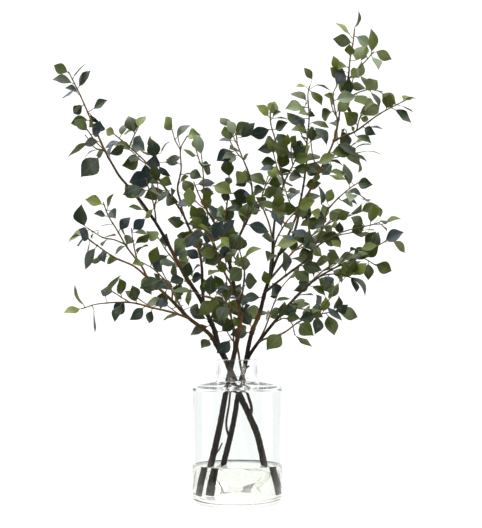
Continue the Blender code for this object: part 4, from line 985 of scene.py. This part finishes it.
stops = ramp.color_ramp.elements
stops[0].color = linear(BARK_YOUNG)
stops[1].color = linear(BARK_OLD)
stops[1].position = 0.7
middle = stops.new(0.25)
middle.color = linear(BARK_MIDDLE)
turn = add_node(tree, "ShaderNodeAttribute", attribute_name="turn").outputs["Fac"]
run = add_node(tree, "ShaderNodeAttribute", attribute_name="run").outputs["Fac"]
grain_place = add_node(tree, "ShaderNodeCombineXYZ", {
    "X": add_node(tree, "ShaderNodeMath", {0: turn, 1: CRACKS_AROUND}, operation="MULTIPLY"),
    "Y": add_node(tree, "ShaderNodeMath", {0: run, 1: CRACKS_ALONG}, operation="MULTIPLY")})
cracks = add_node(tree, "ShaderNodeTexNoise",
                  {"Vector": grain_place, "Scale": 1.0, "Detail": 4.0, "Roughness": 0.65}).outputs["Fac"]
cracked = add_node(tree, "ShaderNodeMath", {0: cracks, 1: CRACK_LEVEL}, operation="GREATER_THAN")
cracked = add_node(tree, "ShaderNodeMath", {0: cracked, 1: CRACK_SHARE}, operation="MULTIPLY")
patches = add_node(tree, "ShaderNodeTexNoise",
                   {"Vector": place, "Scale": 1 / TAN_SPACING, "Detail": 1.0})
patches = add_node(tree, "ShaderNodeMapRange",
                   {"Value": patches.outputs["Fac"], "From Min": 0.48, "From Max": 0.62},
                   interpolation_type="SMOOTHSTEP")
height = add_node(tree, "ShaderNodeSeparateXYZ", {"Vector": place}).outputs["Z"]
dry = add_node(tree, "ShaderNodeMapRange",
               {"Value": height, "From Min": 0.2, "From Max": 0.26, "To Max": 0.6})
tanned = add_node(tree, "ShaderNodeMath", {0: patches, 1: dry}, operation="MULTIPLY")
tanned = add_node(tree, "ShaderNodeMix",
                  {"Factor": tanned, "A": ramp.outputs["Color"], "B": linear(BARK_TAN)},
                  data_type="RGBA")
dark = add_node(tree, "ShaderNodeMix",
                {"Factor": cracked, "A": tanned, "B": linear(BARK_OLD)}, data_type="RGBA")
specks = add_node(tree, "ShaderNodeTexVoronoi",
                  {"Vector": place, "Scale": 1 / SPECK_SPACING}).outputs["Distance"]
corky = add_node(tree, "ShaderNodeMath", {0: specks, 1: SPECK_REACH}, operation="LESS_THAN")
corky = add_node(tree, "ShaderNodeMath", {0: corky, 1: 0.5}, operation="MULTIPLY")
corked = add_node(tree, "ShaderNodeMix",
                  {"Factor": corky, "A": dark, "B": linear(BARK_CORK)}, data_type="RGBA")
tree.links.new(corked.outputs[2], shader.inputs["Base Color"])
bump = add_node(tree, "ShaderNodeBump", {"Height": cracks, "Strength": 0.6, "Distance": CRACK_DEPTH})
tree.links.new(bump.outputs["Normal"], shader.inputs["Normal"])

for owner, shoots in branches.items():
    roots = [leaf["root"] for leaf in leaves[owner]]
    points, edges, radii, ages = [], [], [], []
    for shoot in shoots:
        shoot["branch"] = shoots
        route, thick, old = wood_line(shoot, roots)
        edges += [(len(points) + i, len(points) + i + 1) for i in range(len(route) - 1)]
        points += route
        radii += [r * MM for r in thick]
        ages += old
    wood = add_mesh(owner + "_wood", points, [], edges)
    for name, values in (("thickness", radii), ("age", ages)):
        wood.data.attributes.new(name, "FLOAT", "POINT").data.foreach_set("value", values)
    made_by(wood_tree, wood_inputs, wood, {"Sides": WOOD_SIDES, "Unevenness": UNEVENNESS, "Bark": bark})
    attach(wood, "root")
    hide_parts(owner)

# Camellia leaves: broad oval leathery blades with a short point, a sunken midrib and a
# short stalk, dark and satin above and pale and dull beneath. One closed blade is put
# at each leaf's place and bent there to its own arch, fold, twist and wavy edge.
BLADE_SHARES = (0.03, 0.11, 0.23, 0.37, 0.51, 0.65, 0.79, 0.9, 0.97)
STALK_SHARES = (-1.0, -0.3)
BLADE_RING = ((1, 0), (0.5, 1), (0, 1), (-0.5, 1), (-1, 0), (-0.5, -1), (0, -1), (0.5, -1))
RING_SIDES = len(BLADE_RING)
STALK_RADIUS = 0.7
UPPER_SKIN = 0.24
LOWER_SKIN = 0.2
MIDRIB_DEPTH = 0.5
WIDTH_KEPT = 0.9
WAVES_ALONG = 11.0
WAVES_ACROSS = 1.7
CUP_POWER = 0.75
TWIST_START = 0.35


def blade_outline(along):
    """The fine blade's half width at a share of its length, against its widest."""
    return math.sin(math.pi * along ** 0.93) ** 1.1 * (1 - 0.3 * along ** 4)


def blade_shape():
    """One leaf in its own shares: a closed shell of rings round the stalk and the blade."""
    cells, skins = [], []
    for share in STALK_SHARES:
        for i in range(RING_SIDES):
            angle = math.tau * i / RING_SIDES
            cells.append((0.0, share, math.sin(angle)))
            skins.append((STALK_RADIUS * math.cos(angle), 0.0, STALK_RADIUS * math.sin(angle)))
    for share in BLADE_SHARES:
        wide = blade_outline(share)
        body = min(1.0, 6 * (1 - share))
        for across, above in BLADE_RING:
            cells.append((across * wide, share, above))
            depth = MIDRIB_DEPTH * (1.2 - share) if across == 0 else LOWER_SKIN
            skins.append((0.0, 0.0, above * body * (UPPER_SKIN if above > 0 else depth)))
    cells.append((0.0, 1.0, 0.0))
    skins.append((0.0, 0.0, 0.0))
    rings = len(STALK_SHARES) + len(BLADE_SHARES)
    faces = [tuple(range(RING_SIDES))]
    for low in range(0, RING_SIDES * (rings - 1), RING_SIDES):
        high = low + RING_SIDES
        faces += [(low + k, high + k, high + (k + 1) % RING_SIDES, low + (k + 1) % RING_SIDES)
                  for k in range(RING_SIDES)]
    last = RING_SIDES * (rings - 1)
    faces += [(last + k, last + RING_SIDES, last + (k + 1) % RING_SIDES) for k in range(RING_SIDES)]
    shape = add_mesh("leaf_shape", cells, faces)
    for name, values in (("cell", cells), ("skin", skins)):
        flat = [x for value in values for x in value]
        shape.data.attributes.new(name, "FLOAT_VECTOR", "POINT").data.foreach_set("vector", flat)
    rims = shape.data.attributes.new("sharp_edge", "BOOLEAN", "EDGE")
    for edge, sharp in zip(shape.data.edges, rims.data):
        a, b = sorted(edge.vertices)
        on_blade = a >= RING_SIDES * len(STALK_SHARES)
        sharp.value = on_blade and b - a == RING_SIDES and a % RING_SIDES in (0, RING_SIDES // 2)
    return shape


tree = bpy.data.node_groups.new("Leaves in their places", "GeometryNodeTree")
leaf_tree = tree
leaf_inputs = named_inputs(tree, {"Leaf": "Object", "Waves along": "Float", "Metres per unit": "Float",
                                  "Blade": "Material"})
given = add_node(tree, "NodeGroupInput")
template = add_node(tree, "GeometryNodeObjectInfo", {"Object": given.outputs["Leaf"]})
placed = add_node(tree, "GeometryNodeInstanceOnPoints",
                  {"Points": given.outputs["Geometry"], "Instance": template.outputs["Geometry"]})
placed = add_node(tree, "GeometryNodeRealizeInstances", {"Geometry": placed})
WAYS = ("base", "chord", "stalk", "side", "normal")
SIZES = ("half", "arch", "fold", "twist", "wave", "phase")
own = {}
for kind, names in (("FLOAT_VECTOR", ("cell", "skin", *WAYS)), ("FLOAT", SIZES)):
    for name in names:
        own[name] = add_node(tree, "GeometryNodeInputNamedAttribute", {"Name": name}, data_type=kind)
cell = add_node(tree, "ShaderNodeSeparateXYZ", {"Vector": own["cell"]})
skin = add_node(tree, "ShaderNodeSeparateXYZ", {"Vector": own["skin"]})
on_blade = add_node(tree, "ShaderNodeMath", {0: cell.outputs["Y"], 1: 0.0}, operation="MAXIMUM")
on_stalk = add_node(tree, "ShaderNodeMath", {0: cell.outputs["Y"], 1: 0.0}, operation="MINIMUM")
across = add_node(tree, "ShaderNodeMath",
                  {0: cell.outputs["X"], 1: own["half"]}, operation="MULTIPLY")
reach = add_node(tree, "ShaderNodeMath", {0: across}, operation="ABSOLUTE")

# The blade's lift off its chord: an arch along it, a cup across it and a wavy edge
to_tip = add_node(tree, "ShaderNodeMath", {0: 1.0, 1: on_blade}, operation="SUBTRACT")
arched = add_node(tree, "ShaderNodeMath", {0: on_blade, 1: to_tip}, operation="MULTIPLY")
arched = add_node(tree, "ShaderNodeMath", {0: arched, 1: 4.0}, operation="MULTIPLY")
arched = add_node(tree, "ShaderNodeMath", {0: arched, 1: own["arch"]}, operation="MULTIPLY")
cupped = add_node(tree, "ShaderNodeMath", {0: reach, 1: own["half"]}, operation="DIVIDE")
cupped = add_node(tree, "ShaderNodeMath", {0: cupped, 1: CUP_POWER}, operation="POWER")
cupped = add_node(tree, "ShaderNodeMath", {0: cupped, 1: own["fold"]}, operation="MULTIPLY")
cupped = add_node(tree, "ShaderNodeMath", {0: cupped, 1: own["half"]}, operation="MULTIPLY")
sway = add_node(tree, "ShaderNodeMath",
                {0: cell.outputs["X"], 1: WAVES_ACROSS, 2: own["phase"]}, operation="MULTIPLY_ADD")
sway = add_node(tree, "ShaderNodeMath", {0: on_blade, 1: given.outputs["Waves along"], 2: sway},
                operation="MULTIPLY_ADD")
ripple = add_node(tree, "ShaderNodeMath", {0: sway}, operation="SINE")
ripple = add_node(tree, "ShaderNodeMath", {0: ripple, 1: own["wave"]}, operation="MULTIPLY")
ripple = add_node(tree, "ShaderNodeMath",
                  {0: ripple, 1: reach, 2: skin.outputs["Z"]}, operation="MULTIPLY_ADD")
lift = add_node(tree, "ShaderNodeMath", {0: arched, 1: cupped}, operation="ADD")
lift = add_node(tree, "ShaderNodeMath", {0: lift, 1: ripple}, operation="ADD")
out = add_node(tree, "ShaderNodeMath", {0: across, 1: skin.outputs["X"]}, operation="ADD")

# Each point's place: out along the leaf's chord, side and upper side, which turn with
# the leaf's twist
turning = add_node(tree, "ShaderNodeMath", {0: on_blade, 1: TWIST_START}, operation="SUBTRACT")
turning = add_node(tree, "ShaderNodeMath", {0: turning, 1: own["twist"]}, operation="MULTIPLY")
side = add_node(tree, "ShaderNodeVectorRotate",
                {"Vector": own["side"], "Axis": own["chord"], "Angle": turning})
upper = add_node(tree, "ShaderNodeVectorRotate",
                 {"Vector": own["normal"], "Axis": own["chord"], "Angle": turning})
spot = add_node(tree, "ShaderNodeVectorMath", {0: own["chord"], 1: on_blade, 2: own["base"]},
                operation="MULTIPLY_ADD")
spot = add_node(tree, "ShaderNodeVectorMath",
                {0: own["stalk"], 1: on_stalk, 2: spot}, operation="MULTIPLY_ADD")
spot = add_node(tree, "ShaderNodeVectorMath", {0: side, 1: out, 2: spot}, operation="MULTIPLY_ADD")
spot = add_node(tree, "ShaderNodeVectorMath", {0: upper, 1: lift, 2: spot}, operation="MULTIPLY_ADD")
spot = add_node(tree, "ShaderNodeVectorMath",
                {0: spot, 1: given.outputs["Metres per unit"]}, operation="MULTIPLY")
placed = add_node(tree, "GeometryNodeSetPosition", {"Geometry": placed, "Position": spot})
placed = add_node(tree, "GeometryNodeSetMaterial",
                  {"Geometry": placed, "Material": given.outputs["Blade"]})
add_node(tree, "NodeGroupOutput", {"Geometry": placed})

# Camellia blade: a waxy skin gives the upper side a broad satin sheen and a tone from
# blue-green on old leaves to yellow-green on new ones, pushed yellower to the right as
# painted sunlight and bluer to the left as painted shade; the underside is pale and dull
LEAF_TONES = ((0.0, "304048"), (0.2, "2E3C20"), (0.5, "4C5A16"), (0.72, "677526"),
              (0.88, "828E3C"), (1.0, "93A484"))
LEAF_VEIN = "8C9A5C"
LEAF_BENEATH = "667340"
LEAF_BENEATH_VEIN = "96A269"
LEAF_STALK = "6B7036"
VEIN_PAIRS = 8.0
VEIN_CURVE = 1.25
VEIN_SLANT = -2.3
VEIN_SHARE = 0.28
MIDRIB_REACH = 0.07
SATIN_ROUGHNESS = 0.34
PORE_DEPTH = 0.4 * MM
CLOUD_SPACING = 16 * MM
PORE_SPACING = 2.2 * MM
blade, tree, shader = new_material("camellia_leaf", specular_ior_level=0.45)
cell = add_node(tree, "ShaderNodeAttribute", attribute_name="cell").outputs["Vector"]
cell = add_node(tree, "ShaderNodeSeparateXYZ", {"Vector": cell})
shade = add_node(tree, "ShaderNodeAttribute", attribute_name="shade").outputs["Fac"]
place = add_node(tree, "ShaderNodeTexCoord").outputs["Object"]
from_rib = add_node(tree, "ShaderNodeMath", {0: cell.outputs["X"]}, operation="ABSOLUTE")
midrib = add_node(tree, "ShaderNodeMapRange",
                  {"Value": from_rib, "From Max": MIDRIB_REACH, "To Min": 1.0, "To Max": 0.0},
                  interpolation_type="SMOOTHSTEP")
curved = add_node(tree, "ShaderNodeMath", {0: from_rib, 1: VEIN_CURVE}, operation="POWER")
curved = add_node(tree, "ShaderNodeMath", {0: curved, 1: VEIN_SLANT}, operation="MULTIPLY")
veining = add_node(tree, "ShaderNodeMath", {0: cell.outputs["Y"], 1: VEIN_PAIRS, 2: curved},
                   operation="MULTIPLY_ADD")
veining = add_node(tree, "ShaderNodeMath", {0: veining, 1: 0.5}, operation="PINGPONG")
lateral = add_node(tree, "ShaderNodeMapRange", {"Value": veining, "From Min": 0.42, "From Max": 0.5},
                   interpolation_type="SMOOTHSTEP")
lateral = add_node(tree, "ShaderNodeMath", {0: lateral, 1: 0.5}, operation="MULTIPLY")
veins = add_node(tree, "ShaderNodeMath", {0: midrib, 1: lateral}, operation="MAXIMUM")
on_blade = add_node(tree, "ShaderNodeMath", {0: cell.outputs["Y"], 1: 0.0}, operation="GREATER_THAN")
veins = add_node(tree, "ShaderNodeMath", {0: veins, 1: on_blade}, operation="MULTIPLY")
ramp = add_node(tree, "ShaderNodeValToRGB", {"Fac": shade})
stops = ramp.color_ramp.elements
for number, (position, tone) in enumerate(LEAF_TONES):
    stop = stops[number] if number < 2 else stops.new(position)
    stop.position = position
    stop.color = linear(tone)
clouds = add_node(tree, "ShaderNodeTexNoise",
                  {"Vector": place, "Scale": 1 / CLOUD_SPACING, "Detail": 2.0})
value = add_node(tree, "ShaderNodeMath",
                 {0: clouds.outputs["Fac"], 1: 0.8, 2: 0.6}, operation="MULTIPLY_ADD")
varied = add_node(tree, "ShaderNodeHueSaturation", {"Color": ramp.outputs["Color"], "Value": value})
vein_share = add_node(tree, "ShaderNodeMath", {0: veins, 1: VEIN_SHARE}, operation="MULTIPLY")
veined = add_node(tree, "ShaderNodeMix", {"Factor": vein_share, "A": varied, "B": linear(LEAF_VEIN)},
                  data_type="RGBA")
beneath = add_node(tree, "ShaderNodeMix", {"Factor": vein_share, "A": linear(LEAF_BENEATH),
                                           "B": linear(LEAF_BENEATH_VEIN)}, data_type="RGBA")
beneath = add_node(tree, "ShaderNodeHueSaturation", {"Color": beneath, "Value": value})
under = add_node(tree, "ShaderNodeMath", {0: cell.outputs["Z"], 1: 0.0}, operation="LESS_THAN")
sides = add_node(tree, "ShaderNodeMix",
                 {"Factor": under, "A": veined, "B": beneath}, data_type="RGBA")
on_stalk = add_node(tree, "ShaderNodeMath", {0: cell.outputs["Y"], 1: 0.0}, operation="LESS_THAN")
stalked = add_node(tree, "ShaderNodeMix", {"Factor": on_stalk, "A": sides, "B": linear(LEAF_STALK)},
                   data_type="RGBA")
tree.links.new(stalked.outputs[2], shader.inputs["Base Color"])
rough = add_node(tree, "ShaderNodeMath",
                 {0: clouds.outputs["Fac"], 1: 0.2, 2: SATIN_ROUGHNESS}, operation="MULTIPLY_ADD")
rough = add_node(tree, "ShaderNodeMath", {0: under, 1: 0.28, 2: rough}, operation="MULTIPLY_ADD")
tree.links.new(rough.outputs[0], shader.inputs["Roughness"])
pores = add_node(tree, "ShaderNodeTexNoise",
                 {"Vector": place, "Scale": 1 / PORE_SPACING, "Detail": 1.0})
grooves = add_node(tree, "ShaderNodeMath", {0: veins, 1: -0.6}, operation="MULTIPLY")
relief = add_node(tree, "ShaderNodeMath",
                  {0: pores.outputs["Fac"], 1: 0.5, 2: grooves}, operation="MULTIPLY_ADD")
bump = add_node(tree, "ShaderNodeBump", {"Height": relief, "Strength": 0.5, "Distance": PORE_DEPTH})
tree.links.new(bump.outputs["Normal"], shader.inputs["Normal"])

YOUNG_REACH = 14.0
YOUNG_TONE = 0.5
OLD_TONE = 0.3
TONE_SPREAD = 0.2
# Painted light: a leaf's tone rises by this much per millimetre to the right, so leaves on the right are
# painted yellower as if sunlit and those on the left bluer as if shaded
PAINTED_LIGHT_TO_THE_RIGHT = 0.0006
TWIST_SPREAD = 0.25
WAVE_HEIGHTS = (0.02, 0.09)
leaf_shape = blade_shape()
for number, (owner, shoots) in enumerate(branches.items()):
    draw = random.Random(SEED + 20 + number)
    tips = [shoot["route"][-1] for shoot in shoots]
    rows = {name: [] for name in (*WAYS, *SIZES, "shade")}
    for leaf in leaves[owner]:
        chord = leaf["tip"] - leaf["base"]
        young = min((leaf["root"] - tip).length for tip in tips) < YOUNG_REACH
        # The tone for the leaf's age, shifted by the painted sunlight and shade across the spray
        age_tone_with_painted_light = (YOUNG_TONE if young else OLD_TONE) + leaf["base"].x * PAINTED_LIGHT_TO_THE_RIGHT
        by_chance = draw.gauss(age_tone_with_painted_light, TONE_SPREAD)
        rows["base"].extend(leaf["base"])
        rows["chord"].extend(chord)
        rows["stalk"].extend(leaf["base"] - leaf["root"])
        rows["side"].extend(chord.normalized().cross(leaf["normal"]))
        rows["normal"].extend(leaf["normal"])
        rows["half"].append(leaf["width"] / 2 * WIDTH_KEPT)
        rows["arch"].append(leaf["arch"])
        rows["fold"].append(leaf["fold"])
        rows["twist"].append(draw.gauss(0, TWIST_SPREAD))
        rows["wave"].append(draw.uniform(*WAVE_HEIGHTS))
        rows["phase"].append(draw.uniform(0, math.tau))
        rows["shade"].append(min(1.0, max(0.0, leaf.get("tone", by_chance))))
    spray = add_mesh(owner + "_leaves", [leaf["base"] for leaf in leaves[owner]], [])
    for name, values in rows.items():
        kind, field = ("FLOAT_VECTOR", "vector") if name in WAYS else ("FLOAT", "value")
        spray.data.attributes.new(name, kind, "POINT").data.foreach_set(field, values)
    made_by(leaf_tree, leaf_inputs, spray,
            {"Leaf": leaf_shape, "Waves along": WAVES_ALONG, "Metres per unit": MM, "Blade": blade})
    spray.data.shade_smooth()
    for name in rows:
        if name != "shade":
            spray.data.attributes.remove(spray.data.attributes[name])
    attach(spray, "root")
    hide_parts(owner)
bpy.data.objects.remove(leaf_shape)

# Floor: a plain white sheet, part of the stage and not of the object. The camera and
# the glass see it as white as the room.
FLOOR_REACH = 200.0
THROUGH_GLASS = 1.15


def sorted_rays(tree):
    """The light path, the rays bent by glass, and those together with the camera's own."""
    ray = add_node(tree, "ShaderNodeLightPath")
    bent = add_node(tree, "ShaderNodeMath", {0: ray.outputs["Transmission Depth"], 1: 0.5},
                    operation="GREATER_THAN")
    bent = add_node(tree, "ShaderNodeMath",
                    {0: bent, 1: ray.outputs["Is Diffuse Ray"]}, operation="SUBTRACT")
    bent = add_node(tree, "ShaderNodeMath", {0: bent, 1: 0.0}, operation="MAXIMUM")
    straight = add_node(tree, "ShaderNodeMath", {0: ray.outputs["Is Camera Ray"], 1: bent},
                        operation="MAXIMUM")
    return ray, bent, straight


corners = [(x * FLOOR_REACH, y * FLOOR_REACH, 0) for x, y in ((-1, -1), (1, -1), (1, 1), (-1, 1))]
floor = add_mesh("floor", corners, [(0, 1, 2, 3)])
paper, tree, shader = new_material("white_paper", base_color=linear("F4F4F3"), roughness=0.9)
_, _, straight = sorted_rays(tree)
glow = add_node(tree, "ShaderNodeEmission", {"Color": linear("FFFFFF"), "Strength": THROUGH_GLASS})
mixed = add_node(tree, "ShaderNodeMixShader", {0: straight, 1: shader.outputs[0], 2: glow.outputs[0]})
tree.links.new(mixed.outputs[0], tree.nodes["Material Output"].inputs["Surface"])
floor.data.materials.append(paper)

# Studio: a white room that lights the leaves from above and behind. Grey cards stand to
# both sides, which is what draws the edges of the glass, with a doorway in each, and the
# front wall is dim where the glass mirrors it.
ROOM_WHITE = "FFFFFF"
ROOM_SIDE = "50565A"
ROOM_DIM = "6C6F72"
ROOM_TOP_STRENGTH = 1.5
room = bpy.data.worlds.new("studio")
room.use_nodes = True
bpy.context.scene.world = room
tree = room.node_tree
backdrop = tree.nodes["Background"]
ray, bent, straight = sorted_rays(tree)
way = add_node(tree, "ShaderNodeTexCoord").outputs["Generated"]
way = add_node(tree, "ShaderNodeSeparateXYZ", {"Vector": way})
sideways = add_node(tree, "ShaderNodeMath", {0: way.outputs["X"]}, operation="ABSOLUTE")
upright = add_node(tree, "ShaderNodeMath", {0: way.outputs["Z"]}, operation="ABSOLUTE")
sideways = add_node(tree, "ShaderNodeMath", {0: sideways, 1: upright}, operation="SUBTRACT")
grey = add_node(tree, "ShaderNodeMapRange", {"Value": sideways, "From Min": 0.3, "From Max": 0.9},
                interpolation_type="SMOOTHSTEP")
past_door = add_node(tree, "ShaderNodeMath", {0: way.outputs["Y"]}, operation="ABSOLUTE")
past_door = add_node(tree, "ShaderNodeMapRange",
                     {"Value": past_door, "From Min": 0.2, "From Max": 0.4},
                     interpolation_type="SMOOTHSTEP")
sideways = add_node(tree, "ShaderNodeMath", {0: grey, 1: past_door}, operation="MULTIPLY")
through = add_node(tree, "ShaderNodeMix",
                   {"Factor": sideways, "A": linear(ROOM_WHITE), "B": linear(ROOM_SIDE)},
                   data_type="RGBA")
frontal = add_node(tree, "ShaderNodeMapRange",
                   {"Value": way.outputs["Y"], "From Min": 0.5, "From Max": -0.6},
                   interpolation_type="SMOOTHSTEP")
overhead = add_node(tree, "ShaderNodeMapRange",
                    {"Value": way.outputs["Z"], "From Min": 0.2, "From Max": 0.85},
                    interpolation_type="SMOOTHSTEP")
lit = add_node(tree, "ShaderNodeMix",
               {"Factor": frontal, "A": linear(ROOM_WHITE), "B": linear(ROOM_DIM)},
               data_type="RGBA")
lit = add_node(tree, "ShaderNodeMix",
               {"Factor": overhead, "A": lit, "B": linear(ROOM_WHITE)}, data_type="RGBA")
to_front = add_node(tree, "ShaderNodeMapRange",
                    {"Value": way.outputs["Y"], "From Min": -0.2, "From Max": -0.7},
                    interpolation_type="SMOOTHSTEP")
once = add_node(tree, "ShaderNodeMath", {0: ray.outputs["Ray Depth"], 1: 7.5}, operation="LESS_THAN")
mirrored = add_node(tree, "ShaderNodeMath",
                    {0: ray.outputs["Glossy Depth"], 1: 0.5}, operation="GREATER_THAN")
mirrored = add_node(tree, "ShaderNodeMath", {0: mirrored, 1: once}, operation="MULTIPLY")
to_front = add_node(tree, "ShaderNodeMath", {0: to_front, 1: mirrored}, operation="MULTIPLY")
through = add_node(tree, "ShaderNodeMix", {"Factor": to_front, "A": through, "B": linear(ROOM_DIM)},
                   data_type="RGBA")
colour = add_node(tree, "ShaderNodeMix", {"Factor": bent, "A": lit, "B": through}, data_type="RGBA")
colour = add_node(tree, "ShaderNodeMix", {"Factor": ray.outputs["Is Camera Ray"], "A": colour,
                                          "B": linear(ROOM_WHITE)}, data_type="RGBA")
strength = add_node(tree, "ShaderNodeMath", {0: overhead, 1: ROOM_TOP_STRENGTH - 1.0, 2: 1.0},
                    operation="MULTIPLY_ADD")
strength = add_node(tree, "ShaderNodeMix", {"Factor": straight, "A": strength, "B": THROUGH_GLASS},
                    data_type="FLOAT")
tree.links.new(colour.outputs[2], backdrop.inputs["Color"])
tree.links.new(strength.outputs[0], backdrop.inputs["Strength"])


def soft_light(name, place, aim, size, watts, colour):
    """A square area light at a place in metres, turned to what it lights."""
    lamp = bpy.data.lights.new(name, "AREA")
    lamp.size = size
    lamp.energy = watts
    lamp.color = linear(colour)[:3]
    made = bpy.data.objects.new(name, lamp)
    made.location = place
    made.rotation_euler = (Vector(aim) - Vector(place)).to_track_quat("-Z", "Y").to_euler()
    bpy.context.scene.collection.objects.link(made)


soft_light("top_light", (-0.9, 0.3, 2.6), (0, 0, 0.5), 1.8, 36, "F8FAFF")
soft_light("front_light", (1.6, -2.2, 1.5), (0, 0, 0.5), 1.2, 28, "FFF8EC")

# Camera: at the photograph's distance and height, tipped up a little
PHOTO_HEIGHT = 528
FOCAL_PIXELS = 1253
SENSOR = 36.0
TIPPED_UP = 2.88
MOST_BOUNCES = 32
camera = bpy.data.objects.new("camera", bpy.data.cameras.new("camera"))
camera.data.sensor_width = SENSOR
camera.data.lens = SENSOR * FOCAL_PIXELS / PHOTO_HEIGHT
camera.location = EYE * MM
camera.rotation_euler = (math.radians(90 + TIPPED_UP), 0, 0)
bpy.context.scene.collection.objects.link(camera)
bpy.context.scene.camera = camera
bpy.context.scene.view_settings.view_transform = "Standard"
bpy.context.scene.cycles.max_bounces = MOST_BOUNCES
bpy.context.scene.cycles.transmission_bounces = MOST_BOUNCES
bpy.context.scene.cycles.glossy_bounces = MOST_BOUNCES
